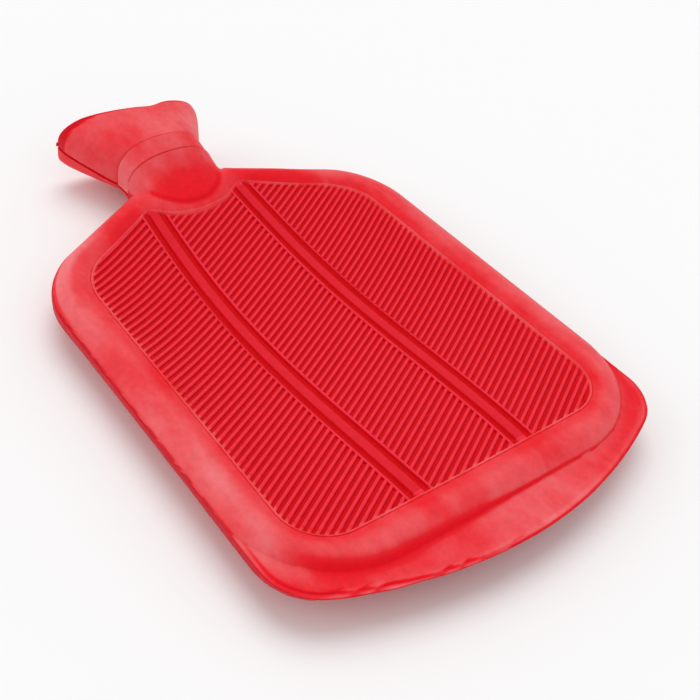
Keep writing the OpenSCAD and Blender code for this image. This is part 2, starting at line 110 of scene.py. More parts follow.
def hump(v, middle, width):
    """1 where v is at the middle, falling softly to 0 on both sides."""
    return np.exp(-(((v - middle) / width) ** 2))


def soft_max(a, b, soft):
    """The greater of two values, rounded over where they meet."""
    return (a + b + np.sqrt((a - b) ** 2 + soft**2)) / 2


# Outlines in plan
def arc(cx, cy, r, a0, a1, n):
    """Points along an arc, without its first one."""
    a = np.radians(np.linspace(a0, a1, n + 1)[1:])
    return np.c_[cx + r * np.cos(a), cy + r * np.sin(a)]


def line(p, q, n):
    """Points along a straight line, without its first one."""
    t = np.linspace(0, 1, n + 1)[1:, None]
    return np.array(p) + (np.array(q) - np.array(p)) * t


def half_outline(y0, r, rc, hw, hs, rs, apex, xt, arched=False):
    """Right half of an outline, from the middle of the base to the middle of the neck end.

    The base lies at y0 with radius r and corner radius rc. hw and hs are the half widths at the
    base and the shoulders, rs is the shoulder's radius, the shoulder lines would meet at apex, and
    xt is the half width of the neck end.
    """
    a = math.radians(SHOULDER_A)
    yc = y0 + r - math.sqrt((r - rc) ** 2 - (hw - rc) ** 2)
    ac = math.degrees(math.atan2(yc - y0 - r, hw - rc))
    ys = apex - math.tan(a) * (hs - rs + rs * math.sin(a)) - rs * math.cos(a)
    pe = (hs - rs + rs * math.sin(a), ys + rs * math.cos(a))
    pt = (xt, apex - xt * math.tan(a))
    end = line(pt, (0, pt[1]), 3 * FINE)
    if arched:
        x = np.linspace(xt, 0, 3 * FINE + 1)[1:]
        # the neck end meets the shoulder line at its own height, as in the part's source
        x1 = 2 * xt / 3
        y1 = ARC_Y - np.sqrt(ARC_R**2 - x1**2)
        y = ARC_Y - np.sqrt(ARC_R**2 - x**2)
        first = x > x1
        y[first] = pt[1] + (y1 - pt[1]) * (xt - x[first]) / (xt - x1)
        end = np.c_[x, y]
    return np.vstack(
        [
            [[0, y0]],
            arc(0, y0 + r, r, -90, ac, 5 * FINE),
            arc(hw - rc, yc, rc, ac, 0, 5 * FINE),
            line((hw, yc), (hs, ys), 8 * FINE),
            arc(hs - rs, ys, rs, 0, 90 - SHOULDER_A, 5 * FINE),
            line(pe, pt, 2 * FINE),
            end,
        ]
    )


def mirrored(half):
    """The whole outline from its right half."""
    return np.vstack([half, half[-2:0:-1] * [-1, 1]])


FOOT = mirrored(
    half_outline(
        FLANGE_W, FOOT_R, FOOT_CORNER_R, BASE_HW - FOOT_IN, SHOULDER_HW - FOOT_IN,
        SHOULDER_R - FOOT_IN, APEX_Y - 0.9, ROOT_HW,
    )
)
PANEL = (PANEL_BASE, FOOT_R, PANEL_R, PANEL_HW, PANEL_TOP_HW, PANEL_TOP_R, PANEL_APEX, NECK_END_HW)
BEAD = mirrored(half_outline(*PANEL, arched=True))
BACK = mirrored(half_outline(*PANEL))


def seam_line(back):
    """The seam's outer edge, drawn back at the base."""
    return mirrored(
        half_outline(
            back, BASE_R, BASE_CORNER_R, BASE_HW, SHOULDER_HW, SHOULDER_R, APEX_Y, ROOT_HW - 6
        )
    )


def toward_bead(t):
    """The outline that lies a share t of the way from the foot to the bead."""
    return FOOT + t * (BEAD - FOOT)


def toward_back(t):
    """The outline that lies a share t of the way from the foot to the flat back's inner outline."""
    return FOOT + t * (BACK - FOOT)


def plan_normals(ring):
    """Outward directions in plan at the points of a ring."""
    tangent = np.roll(ring, -1, 0) - np.roll(ring, 1, 0)
    return np.c_[tangent[:, 1], -tangent[:, 0]] / np.linalg.norm(tangent, axis=1)[:, None]


def points_in(poly, x, y):
    """Which points lie inside a polygon in plan."""
    inside = np.zeros(len(x), bool)
    for (a, b), (c, e) in zip(poly, np.roll(poly, -1, 0)):
        if b != e:
            inside ^= ((b > y) != (e > y)) & (x < (c - a) * (y - b) / (e - b) + a)
    return inside


def point_tree(points):
    """A search tree over points."""
    tree = KDTree(len(points))
    for i, at in enumerate(points):
        tree.insert(at, i)
    tree.balance()
    return tree


def nearest(outline, xy):
    """Distance in plan from each point to an outline."""
    step = np.vstack([outline, outline[:1]])
    run = np.r_[0, np.cumsum(np.hypot(*np.diff(step, axis=0).T))]
    even = np.arange(0, run[-1], 0.8)
    places = [np.interp(even, run, step[:, k]) for k in (0, 1)]
    tree = point_tree(np.c_[places[0], places[1], np.zeros(len(even))])
    return np.array([tree.find((px, py, 0))[2] for px, py in xy])


def crossings(o, d, poly):
    """Where a line from o along d crosses a polygon, as distances along it."""
    p, e = poly, np.roll(poly, -1, 0) - poly
    w = p - o
    den = d[0] * e[:, 1] - d[1] * e[:, 0]
    ok = np.abs(den) > 1e-9
    s = np.where(ok, (w[:, 0] * d[1] - w[:, 1] * d[0]) / np.where(ok, den, 1), -1)
    u = np.where(ok, (w[:, 0] * e[:, 1] - w[:, 1] * e[:, 0]) / np.where(ok, den, 1), 0)
    return u[ok & (s >= 0) & (s < 1)]


# Heights
def sag_z(x, y):
    """Height of the empty bottle's sagging front at the panel's bead line."""
    width = PANEL_HW + (PANEL_TOP_HW - PANEL_HW) * np.clip((y - 60) / 140, 0, 1)
    v = np.clip((y - PANEL_BASE) / (PANEL_END - PANEL_BASE), 0, 1)
    return RIM_Z - SAG * np.sin(np.pi * v**1.35) * (1 - np.clip(np.abs(x) / width, 0, 1) ** 3)


def margin_z(t, x, y):
    """Height of the swelling margin, a share t of the way from the foot to the bead."""
    t = min(t, 1)
    rise = math.sqrt(1 - (1 - t) ** 2)
    return SEAM_TOP + (sag_z(x, y) - SEAM_TOP) * rise + SWELL * math.sin(math.pi * t)


def back_z(t):
    """Height of the rounded back edge, a share t of the way from the foot inwards."""
    return SEAM_LOW * (1 - (0 if t < 0.17 else min(1, ((t - 0.17) / 0.6) ** 0.62)))


# The neck's sections: y, half width, top, bottom, rise of the seam, squareness
DOME = np.array(
    [
        [NECK_ROOT - 26, 10, 4, 13, 0, 2.2],
        [NECK_ROOT - 21, 16.5, 6, 14, 0, 2.2],
        [NECK_ROOT - 14.5, 21.5, 8.7, 15, 0, 2.2],
        [NECK_ROOT - 7, 24, 11.4, 15.3, 0, 2.2],
        [NECK_ROOT + 0.5, NECK_HW, 15.4, 14.8, 0.6, 2.2],
        [RING_Y1, NECK_HW, 18.7, 13.6, 1.6, 2.3],
    ]
)
COLLAR = np.array([NECK_HW - 0.2, 22, 10, 3, 2.4])
# how the funnel widens: share of its length, and share of its growth in width
FLARE = np.array([[0, 0.2, 0.42, 0.65, 0.85, 1], [0, 0.26, 0.52, 0.78, 0.95, 1]])


def funnel_rows():
    """The funnel's sections, from the collar's step to the mouth."""
    f = FLARE[0]
    hw, top, bottom = COLLAR[:3] - STEP
    return np.c_[
        RING_Y2 + f * FUNNEL_L,
        hw + (MOUTH_HW - hw) * FLARE[1],
        top + (MOUTH_UP - top) * f,
        bottom + (MOUTH_DOWN - bottom) * f,
        np.full(6, 3.0),
        2.4 + 0.4 * f,
    ]


FUNNEL = funnel_rows()


def smooth_rows(rows, y):
    """The rows' values at y, on a smooth curve through them."""
    ys, v = rows[:, 0], rows[:, 1:]
    slope = np.gradient(v, ys, axis=0)
    i = int(np.clip(np.searchsorted(ys, y) - 1, 0, len(ys) - 2))
    h = ys[i + 1] - ys[i]
    t = (y - ys[i]) / h
    a = (1 + 2 * t) * (1 - t) ** 2 * v[i] + t * (1 - t) ** 2 * h * slope[i]
    b = t * t * (3 - 2 * t) * v[i + 1] + t * t * (t - 1) * h * slope[i + 1]
    return a + b


def dip_at(f):
    """How far the sections bend back towards the lip, a share f along the funnel."""
    return LIP_DIP * np.clip((f - 0.6) / 0.4, 0, None) ** 2


def lip_shape(u, upper=1.0):
    """How the lip falls back across its width: on its upper side it is deepest right of the middle."""
    bowl = (1 - np.minimum(1, np.abs(u))) ** 0.7
    return bowl + upper * 0.65 * hump(u, 0.27, 0.17) + 0.35 * ease(-0.6, -1, u)


def section(y, q, skew=0.0, dip=0.0, inset=0.0):
    """One closed section of the neck at y, from a row's values, bent back by the lip's skew and dip."""
    hw, top, bottom, rise, sq = q
    a = np.linspace(0, np.pi, HALF_RING)
    u = np.sign(np.cos(a)) * np.abs(np.cos(a)) ** (2 / sq)
    h = np.sin(a) ** (2 / sq)
    st = SEAM_T / 2
    up = rise + st + (top - inset - rise - st) * h
    low = rise - st - (bottom - inset + rise - st) * h
    across = np.r_[u, u[::-1]]
    upper = np.repeat([1.0, 0.0], HALF_RING)
    along = y - dip * lip_shape(across, upper) - skew * across
    return np.c_[(hw - inset) * across, along, SEAM_H + np.r_[up, low[::-1]]]


def dome_z(x, y):
    """Height of the neck's dome over the shoulders, far below them away from the neck."""
    out = np.full(len(x), -50.0)
    for i, (px, py) in enumerate(zip(x, y)):
        if py < DOME[0, 0] - 8:
            continue
        hw, top, _, rise, sq = smooth_rows(DOME, max(py, DOME[0, 0]))
        u = min(1.0, abs(px) / hw)
        z = SEAM_H + rise + SEAM_T / 2 + (top - rise - SEAM_T / 2) * (1 - u**sq) ** (1 / sq)
        out[i] = z - 2.0 * max(0, abs(px) - hw) - 0.9 * max(0, DOME[0, 0] - py)
    return out


# Mesh helpers
def place_mesh(name, points, edges, faces, origin=(0, LEN / 2, 0)):
    """A mesh object from points in millimetres. The part's own origin is half the length from the base."""
    pts = (np.asarray(points, float) - origin) / 1000
    mesh = bpy.data.meshes.new(name)
    mesh.from_pydata(pts.tolist(), edges, faces)
    obj = bpy.data.objects.new(name, mesh)
    bpy.context.scene.collection.objects.link(obj)
    return obj


def outward(obj):
    """Merges doubles and turns every face outwards."""
    bm = bmesh.new()
    bm.from_mesh(obj.data)
    bmesh.ops.remove_doubles(bm, verts=bm.verts, dist=1e-6)
    bmesh.ops.recalc_face_normals(bm, faces=bm.faces)
    if bm.calc_volume(signed=True) < 0:
        bmesh.ops.reverse_faces(bm, faces=bm.faces)
    bm.to_mesh(obj.data)
    bm.free()


def applied(obj):
    """The object's mesh with its modifiers applied."""
    return bpy.data.meshes.new_from_object(obj.evaluated_get(bpy.context.evaluated_depsgraph_get()))


def ring_faces(m, n, closed=False):
    """Quads between m rings of n points."""
    out = []
    for j in range(m if closed else m - 1):
        k = (j + 1) % m
        i = np.arange(n)
        i2 = (i + 1) % n
        out.append(np.c_[j * n + i, j * n + i2, k * n + i2, k * n + i])
    return np.vstack(out).tolist()


def cross_cap(first, n, flip):
    """Closes a ring by strips from its right half to its left half."""
    out = []
    for i in range(n // 2):
        a, b, c, d = first + i, first + i + 1, first + (n - i - 1) % n, first + (n - i) % n
        f = (a, b, c) if i == 0 else (a, b, d) if i == n // 2 - 1 else (a, b, c, d)
        out.append(f if flip else f[::-1])
    return out


def loft(name, rings, caps="cross"):
    """A closed solid through rings of points."""
    m, n = len(rings), len(rings[0])
    faces = ring_faces(m, n, closed=caps == "closed")
    if caps == "cross":
        faces += cross_cap(0, n, True) + cross_cap((m - 1) * n, n, False)
    elif caps == "flat":
        faces += [tuple(range(n))[::-1], tuple(range((m - 1) * n, m * n))]
    obj = place_mesh(name, np.vstack(rings), [], faces)
    obj.data.validate()
    outward(obj)
    return obj


def at_z(plan, z):
    """A plan outline lifted to one height, or to a height for each point."""
    return np.c_[plan, np.broadcast_to(z, len(plan))]


def combine(obj, other, operation="UNION"):
    """Joins other to obj, or cuts it away, and deletes other."""
    mod = obj.modifiers.new("join", "BOOLEAN")
    mod.operation = operation
    mod.solver = "MANIFOLD"
    mod.object = other
    mesh = applied(obj)
    if not len(mesh.polygons):
        raise RuntimeError(f"joining {other.name} left nothing of {obj.name}")
    obj.modifiers.clear()
    obj.data = mesh
    bpy.data.objects.remove(other)


def finish_mesh(obj, material, sharp_deg):
    """Gives a finished solid its one material and its smooth shading."""
    mesh = obj.data
    mesh.materials.clear()
    mesh.materials.append(material)
    mesh.shade_smooth()
    mesh.set_sharp_from_angle(angle=math.radians(sharp_deg))
    return obj


def add_node(tree, kind, inputs=None, **settings):
    """One node with its settings, values and links. A node as a value stands for its first live output."""
    node = tree.nodes.new(kind)
    for key, value in settings.items():
        setattr(node, key, value)
    for key, value in (inputs or {}).items():
        if isinstance(value, bpy.types.Node):
            value = next(out for out in value.outputs if out.enabled)
        if isinstance(value, bpy.types.NodeSocket):
            tree.links.new(value, node.inputs[key])
        else:
            node.inputs[key].default_value = value
    return node


# Bars swept along paths, by Geometry Nodes
def bar_tree():
    """Sweeps a rounded trapezoid along each path: ribs, bands, lines and thread ridges."""
    tree = bpy.data.node_groups.new("Moulded Bar", "GeometryNodeTree")
    face = tree.interface
    face.new_socket("Geometry", in_out="INPUT", socket_type="NodeSocketGeometry")
    for label in ("Foot Width", "Crest Width", "Height", "Sunk", "Corner Radius", "Turn"):
        face.new_socket(label, in_out="INPUT", socket_type="NodeSocketFloat")
    face.new_socket("Material", in_out="INPUT", socket_type="NodeSocketMaterial")
    face.new_socket("Geometry", in_out="OUTPUT", socket_type="NodeSocketGeometry")

    given = add_node(tree, "NodeGroupInput").outputs
    path = add_node(tree, "GeometryNodeMeshToCurve", {0: given["Geometry"]})
    upright = add_node(tree, "GeometryNodeSetCurveNormal", {0: path}, mode="Z_UP")
    profile = add_node(
        tree,
        "GeometryNodeCurvePrimitiveQuadrilateral",
        {
            "Bottom Width": given["Crest Width"],
            "Top Width": given["Foot Width"],
            "Height": given["Height"],
            "Offset": 0.0,
        },
        mode="TRAPEZOID",
    )
    half = add_node(tree, "ShaderNodeMath", {0: given["Height"], 1: -0.5}, operation="MULTIPLY")
    lift = add_node(tree, "ShaderNodeMath", {0: half, 1: given["Sunk"]}, operation="ADD")
    shift = add_node(tree, "ShaderNodeCombineXYZ", {"Y": lift})
    moved = add_node(tree, "GeometryNodeTransform", {0: profile, "Translation": shift})
    spin = add_node(tree, "ShaderNodeCombineXYZ", {"Z": given["Turn"]})
    turned_profile = add_node(tree, "GeometryNodeTransform", {0: moved, "Rotation": spin})
    rounded = add_node(
        tree,
        "GeometryNodeFilletCurve",
        {0: turned_profile, "Count": 2, "Radius": given["Corner Radius"], "Limit Radius": True},
        mode="POLY",
    )
    swept = add_node(
        tree, "GeometryNodeCurveToMesh", {"Curve": upright, "Profile Curve": rounded, "Fill Caps": True}
    )
    real = add_node(tree, "GeometryNodeRealizeInstances", {0: swept})
    painted = add_node(tree, "GeometryNodeSetMaterial", {0: real, "Material": given["Material"]})
    add_node(tree, "NodeGroupOutput", {0: painted})
    return tree


def bars(name, paths, foot, crest, height, sunk, corner, material, turn=0.0, origin=(0, LEN / 2, 0)):
    """One solid bar along each path of points, all in millimetres.

    foot and crest are the bar's widths, sunk is the part of its height that lies below the path,
    corner rounds its section and turn rolls it about the path.
    """
    points, edges = [], []
    for p in paths:
        k = len(points)
        points += list(p)
        edges += [(k + i, k + i + 1) for i in range(len(p) - 1)]
    obj = place_mesh(name, points, edges, [], origin)
    tree = bpy.data.node_groups.get("Moulded Bar") or bar_tree()
    mod = obj.modifiers.new("bar", "NODES")
    mod.node_group = tree
    values = {
        "Foot Width": foot / 1000,
        "Crest Width": crest / 1000,
        "Height": height / 1000,
        "Sunk": sunk / 1000,
        "Corner Radius": corner / 1000,
        "Turn": turn,
        "Material": material,
    }
    for item in tree.interface.items_tree:
        if item.in_out == "INPUT" and item.name in values:
            mod[item.identifier] = values[item.name]
    plain = applied(obj)
    obj.modifiers.clear()
    obj.data = plain
    outward(obj)
    return obj


# The rubber moulding
def panel_rings():
    """Rings from the bead over the panel's floor to its middle line."""
    rim = toward_bead(1.03)
    nose = 10 * np.clip(1 - np.abs(rim[:, 0]) / ROOT_HW, 0, None)
    core = np.minimum(np.maximum(rim[:, 1], 80), 205 + nose)
    for s in (*np.linspace(0, 0.93, 22), 0.97):
        xy = np.c_[rim[:, 0] * (1 - s), rim[:, 1] + s * (core - rim[:, 1])]
        yield at_z(xy, sag_z(*xy.T) - RIB_SUNK)


def foot_room():
    """How far the foot's fillet may reach out over the seam plate, for each point of the ring."""
    edge = seam_line(0)
    room = np.sqrt(((FOOT[:, None] - edge[None]) ** 2).sum(2)).min(1)
    return np.clip(room - 2.2, 0, FILLET)


def fillet_rings():
    """Rings of the soft fillet between the flange and the margin, from outside in."""
    room, out = foot_room(), plan_normals(FOOT)
    low = SEAM_TOP - 0.04
    for k in (1, 0.8, 0.6, 0.4, 0.2):
        rise = soft_max(-SLOPE * k * room, 0, 1e-3 + SOFT * room / FILLET)
        z = low + rise - 0.22 * k * room / FILLET
        yield at_z(FOOT + out * (k * room)[:, None], low if k == 1 else z)


def front_ring(t, extra):
    """A ring of the margin, raised by extra and run up into the neck's dome."""
    xy = toward_bead(t)
    z = margin_z(t, *xy.T) + extra
    if t < 0.4:
        z = soft_max(z, SEAM_TOP, 1e-3 + SOFT * foot_room() / FILLET)
    fade = min(1, max(0, (0.99 - t) / 0.06))
    return at_z(xy, z + fade * (soft_max(z, dome_z(*xy.T), 1.7) - z))


def skin():
    """Outer skin: flat back, swelling margins, bead and sunk panel."""
    rings = [at_z(toward_back(0.78), 0)]
    for t in (0.74, 0.68, 0.6, 0.52, 0.44, 0.37, 0.31, 0.26, 0.22, 0.19, 0.175):
        rings.append(at_z(toward_back(t), back_z(t)))
    rings += [at_z(toward_back(0.17), SEAM_LOW), at_z(FOOT, SEAM_LOW + 1)]
    rings += fillet_rings()
    rings += [front_ring(t, 0) for t in (*np.linspace(0, 0.1, 6), *np.linspace(0.13, 0.925, 26))]
    rings += [front_ring(t, up) for t, up in BEAD_SHAPE]
    rings += panel_rings()
    return loft("bottle_rubber", rings)


def cavity():
    """Space inside the body."""
    drop = 1.35 + WALL
    rings = [at_z(toward_back(0.9), WALL)]
    rings += [at_z(toward_back(t), back_z(t) + WALL) for t in (0.76, 0.62, 0.52, 0.42)]
    rings.append(at_z(toward_back(BOND_T), SEAM_H))
    for t, under in ((0.36, WALL), (0.48, WALL), (0.6, WALL), (0.76, WALL), (0.93, drop)):
        xy = toward_bead(t)
        rings.append(at_z(xy, margin_z(t, *xy.T) - under))
    rings += [r - [0, 0, drop - RIB_SUNK] for r in list(panel_rings())[3:-2]]
    return loft("cavity", rings)


def edge_wander(count, seed, reach):
    """A smooth uneven run round the seam, in millimetres, as a knife leaves it."""
    rng = np.random.default_rng(seed)
    s = np.linspace(0, 2 * np.pi, count, endpoint=False)
    out = np.zeros(count)
    for waves in (5, 9, 14, 23, 37, 52):
        out += rng.normal() * np.sin(waves * s + rng.uniform(0, 6.28)) / waves**0.6
    return (reach * out / np.abs(out).max())[:, None]


def seam_plate():
    """Trimmed seam edge and base flange: a flat band, slanted at the base, with a worn upper edge."""
    top, low = seam_line(0), seam_line(BASE_TRIM)
    normal = plan_normals(top)
    wander = edge_wander(len(top), 4, 0.3)
    # ragged flash left by the mould near the corner of the base
    rag = edge_wander(len(top), 11, 0.5) * hump(top[:, :1], -66, 26) * (top[:, 1:] < 40)
    inner = toward_bead(BOND_T)

    def rim(share, out):
        """The plate's edge, a share of the way from its lower to its upper run, moved outwards."""
        return low + share * (top - low) + normal * out

    # rings over the flange's top, close together near its edge, where the finish changes most
    edge = rim(1, -1.6)
    gap = np.linalg.norm(inner - edge, axis=1)[:, None]
    steps = ((0.5, 0.1), (1, 0.2), (1.5, 0.3), (2.4, 0.4), (5.4, 0.55), (10, 0.7), (15, 0.85))
    over = [edge + (inner - edge) * np.minimum(reach / gap, share) for reach, share in steps]
    rings = [
        at_z(inner, SEAM_LOW),
        at_z(rim(0, -1.2), SEAM_LOW),
        at_z(rim(0.05, -0.25 + wander), SEAM_LOW + 0.1),
        at_z(rim(0.12, wander), SEAM_LOW + 0.6),
        at_z(rim(0.5, 0.05), SEAM_LOW + 2.4),
        at_z(rim(0.8, rag), SEAM_TOP - 1.5),
        at_z(rim(0.92, rag * 1.4 + wander * 0.5 - 0.05), SEAM_TOP - 1.0),
        at_z(rim(0.97, rag + wander * 0.5 - 0.35), SEAM_TOP - 0.4),
        at_z(rim(1, rag * 0.5 - 0.9), SEAM_TOP - 0.08),
        *[at_z(ring, SEAM_TOP) for ring in (edge, *over, inner)],
    ]
    return loft("seam_plate", rings, caps="closed")


def funnel_section(f, less=0.0, inset=0.0):
    """The funnel's section a share f along it, with its sizes made less and its surface inset."""
    y = RING_Y2 + f * FUNNEL_L
    return section(y, smooth_rows(FUNNEL, y) - less, SKEW * f, dip_at(f), inset)


def lip_steps():
    """Steps round the lip's edge: share along the funnel, and how far the surface draws in."""
    r = LIP_T / 2
    for a in np.radians((0, 20, 40, 60, 80)):
        yield (FUNNEL_L - r * (1 - math.sin(a))) / FUNNEL_L, r * (1 - math.cos(a))


def neck_solid():
    """Outer form of the neck and funnel."""
    rings = []
    for y in np.linspace(NECK_ROOT - 3.5, RING_Y1, 9):
        q = smooth_rows(DOME, y)
        q[:3] -= 0.04 if y < NECK_ROOT - 0.8 else 0
        rings.append(section(y, q))
    end = smooth_rows(DOME, RING_Y1)
    rings += [section(RING_Y1 + y, end, inset=inset) for y, inset in RING_GROOVE]
    for f in np.linspace(0.12, 1, 7):
        q = (end - [STEP, STEP, STEP, 0, 0]) * (1 - f) + COLLAR * f
        rings.append(section(RING_Y1 + f * (RING_Y2 - RING_Y1), q))
    rings += [section(RING_Y2 + y, COLLAR, inset=inset) for y, inset in RING_GROOVE]
    rings += [funnel_section(f) for f in np.linspace(0.05, 0.955, 24)]
    rings += [funnel_section(f, inset=inset) for f, inset in lip_steps()]
    return loft("neck", rings, caps="flat")


def funnel_hollow():
    """The hollow of the funnel, from the washer's seat out past the rounded lip."""
    r, inner = FLANGE_R + 0.5, [LIP_T, LIP_T, LIP_T, 0, 0.1]
    seat = np.array([r + 4, r + NECK_RISE, r - NECK_RISE, NECK_RISE / 2, 2.2])
    rings = [section(SOCKET_Y1 - 0.01, seat)]
    # from the round seat to the funnel's own section, met at this share of its length
    meet = 0.42
    y_in = RING_Y2 + meet * FUNNEL_L
    first = smooth_rows(FUNNEL, y_in) - inner
    for f in np.linspace(0.15, 0.9, 6):
        rings.append(section(SOCKET_Y1 + f * (y_in - SOCKET_Y1), seat * (1 - f) + first * f, SKEW * meet * f))
    rings += [funnel_section(f, inner) for f in np.linspace(meet, 0.955, 16)]
    rings += [funnel_section(f, inner, -inset) for f, inset in lip_steps()]
    rings.append(rings[-1] + [0, 12, 0])
    return loft("funnel_hollow", rings, caps="flat")


def seam_z(f):
    """Height of the groove where the funnel's upper shell meets its side strip."""
    return 15.4 + 6.2 * np.clip(f, 0, 1)


def seam_groove(side, inset):
    """The groove's line along one side of the collar and funnel, inset from the surface."""
    out = []
    for f in np.linspace(-0.3, 1.0, 30):
        y, g = RING_Y2 + f * FUNNEL_L, max(f, 0)
        ring = section(y, smooth_rows(FUNNEL, max(y, RING_Y2)), SKEW * g, dip_at(g))
        flank = ring[side * ring[:, 0] > 0.4 * MOUTH_HW]
        flank = flank[np.argsort(flank[:, 2])]
        out.append([np.interp(seam_z(f), flank[:, 2], flank[:, k]) for k in (0, 1)] + [seam_z(f)])
    out = np.array(out)
    run = np.gradient(out[:, :2], axis=0)
    normal = np.c_[run[:, 1], -run[:, 0]] * side / np.hypot(*run.T)[:, None]
    out[:, :2] -= inset * normal
    return np.vstack([out, 2 * out[-1] - out[-2]])


def passage():
    """The way from the body's inside to the socket."""
    r = BORE_R + 2.6
    rows = (
        (NECK_ROOT - 21, 9, 3, 11.4, 0, 2.2),
        (NECK_ROOT - 14.5, 16, 5.6, 12, 0, 2.2),
        (NECK_ROOT - 7, 18, 8.6, 12, 0, 2.2),
        (NECK_ROOT + 0.5, 17, 12.4, 11, 0.6, 2.2),
        (SOCKET_Y0 + 0.01, BORE_R + 3, r + NECK_RISE, r - NECK_RISE, NECK_RISE, 2),
    )
    return loft("passage", [section(q[0], q[1:]) for q in rows], caps="flat")


def turned(name, profile, steps, y):
    """A closed solid turned from (radius, height) points, with its foot on the neck's axis at y."""
    a = np.linspace(0, 2 * np.pi, steps, endpoint=False)
    rings = []
    for r, h in profile:
        r = max(r, 1e-4)
        rings.append(np.c_[r * np.cos(a), np.full(steps, y + h), AXIS_Z - r * np.sin(a)])
    return loft(name, rings, caps="flat" if profile[0][0] == 0 else "closed")


def divider_x(y):
    """Distance of the bowed dividers from the bottle's middle."""
    return 29.8 - 4.1 * ((y - 108.6) / 130) ** 2


def divider_paths(offset, under, fade=0.0):
    """Paths beside both dividers, from bead to bead, that run under the bead or fade out before it."""
    paths = []
    for side in (-1, 1):
        for aside in (-offset, offset) if offset else (0,):
            y = np.linspace(PANEL_BASE - 4, PANEL_END + 12, 600)
            y = y[points_in(BEAD, divider_x(y) + aside, y)]
            y = np.linspace(y[0] - under, y[-1] + under, 90)
            x = divider_x(y)
            end = np.minimum(y - y[0], y[-1] - y)
            paths.append(np.c_[side * (x + aside), y, sag_z(x, y) + fade * ease(5, 0, end)])
    return paths


def rib_paths(pitch, angle):
    """The middle line of every rib, cut where it meets the bead, the dividers or the neck's arc."""
    d = np.array([math.cos(angle), math.sin(angle)])
    n = np.array([-d[1], d[0]])
    mid = np.array([0, (PANEL_BASE + PANEL_END) / 2])
    rows = math.ceil(((PANEL_END - PANEL_BASE) * d[0] / 2 + PANEL_HW * d[1]) / pitch)
    limit = toward_bead(0.985)
    beside = BAND_W / 2 + GROOVE_W + LINE_W / 2
    out = []

    def at_divider(o, side, aside):
        """Where a rib's line meets a bowed divider, found in a few steps."""
        u = side * 30
        for _ in range(5):
            u = (side * (divider_x(o[1] + u * d[1]) + aside) - o[0]) / d[0]
        return u

    for k in range(-rows, rows + 1):
        o = mid + (k + 0.5) * pitch * n
        cut = crossings(o, d, limit)
        if len(cut) < 2:
            continue
        lo, hi = cut.min(), cut.max()
        w = o - [0, ARC_Y - 0.7]
        b, disc = w @ d, (w @ d) ** 2 - w @ w + ARC_R**2
        neck = -b - math.sqrt(disc) if disc > 0 else math.inf
        fields = (
            (lo, min(hi, at_divider(o, -1, beside))),
            (max(lo, at_divider(o, -1, -beside)), min(hi, at_divider(o, 1, -beside), neck)),
            (max(lo, at_divider(o, 1, beside)), hi),
        )
        for a, z in fields:
            if z - a > RIB_MIN:
                xy = o + np.linspace(a, z, max(4, int((z - a) / 5)))[:, None] * d
                out.append(at_z(xy, sag_z(*xy.T) - RIB_SUNK))
    return out


# Painted light and shade of the rubber: below 0 painted shade, 0 the crease's painted shade, 0.3 the plain
# margin, 1 the palest painted highlight
def margin_tone(x, y, t, corner):
    """The margins' painted highlight: palest along the left and the base, fading deeper towards the bead and
    the foot.
    """
    left, base = ease(-55, -90, x), ease(75, 35, y)
    start = -0.05 * ease(30, 70, y) * left - 0.25 * corner
    tone = ease(start, start + 0.15 - 0.08 * base, t + 0.03 * left) * (1 - 0.35 * ease(0.5, 0.85, t))
    # less painted highlight beside the neck, and a streak of painted highlight low on the left side
    tone *= 1 - (0.35 + 0.3 * ease(0, 20, x)) * ease(215, 245, y) * ease(75, 45, np.abs(x))
    tone *= 0.62 + 0.1 * left
    tone += 0.25 * hump(x, -94.5, 4) * ease(34, 52, y) * ease(115, 85, y)
    # round the left shoulder a painted highlight lies along the outer rim, outside a deeper band
    round_left = ease(-40, -80, x) * ease(185, 225, y)
    rim = ease(0.02, 0.1, t) * (1 - 0.5 * ease(0.3, 0.55, t))
    tone = tone * (1 - round_left) + rim * round_left
    # the bead is painted pale as a highlight, over a fine line of painted shadow at its outer foot
    return np.where(t > 0.945, 0.68, tone * (1 - 0.6 * hump(t, 0.937, 0.008)))


def body_tone(x, y, z):
    """Painted highlight and shade of the body: margins, flange, the crease between them and the trimmed edge.
    """
    plan = np.c_[x, y]
    foot, bead, seam = (nearest(outline, plan) for outline in (FOOT, BEAD, seam_line(0)))
    within = points_in(FOOT, x, y) & (foot > 0.08)
    t = np.where(within, foot / (foot + bead + 1e-6), 0)
    base = ease(75, 35, y)
    corner = ease(68, 60, y) * ease(-82, -94, x)
    # the flange is plain, lighter in the middle than at either side, with a painted highlight and a painted
    # shadow line along its outer edge, and beyond the base the seam is painted deep as shade
    ragged = 0.5 + 0.5 * np.sin(0.4 * x + 2.2 * np.sin(0.17 * x))
    edge_light_and_shade = 0.25 * hump(seam, 2.2, 1.2) + ease(1.3, 0.6, seam) * np.where(x < -15, 0.7 * ragged - 0.2, -0.8)
    flange = 0.42 + 0.24 * ease(-60, -10, x) - 0.3 * ease(40, 80, x) + edge_light_and_shade
    flange = base * flange - 0.45 * (1 - base)
    tone = np.where(within, margin_tone(x, y, t, corner), flange)
    # painted shade in the crease between them: broad at the left, a fine line in the middle, none at the
    # right
    reach = 0.7 + 2.1 * ease(25, -60, x)
    shift = np.where(within, foot, -foot) - 0.3 * reach
    tone *= 1 - base * (1 - corner) * ease(52, 28, x) * hump(shift, 0, reach)
    # a little painted highlight beside the crease towards the right
    tone += 0.12 * base * ease(0, 50, x) * hump(shift, 0, 3)
    # at the base's left corner the rubber runs out smooth to the edge, painted pale as a highlight
    outer = tone * (1 - corner) + (0.5 + 0.4 * ease(10, 0, foot)) * corner
    # flash near that corner, with a painted shadow line along it
    cut = ease(10, -30, x) * base * (z > SEAM_H) * (0.25 + 0.75 * ragged)
    outer -= 1.3 * cut * hump(seam, 1.5 + 0.9 * ragged, 0.6)
    # the trimmed edge and everything under it is painted deep red as shade
    return np.where(z < SEAM_TOP - 0.7, -0.5, np.where(within, tone, outer))


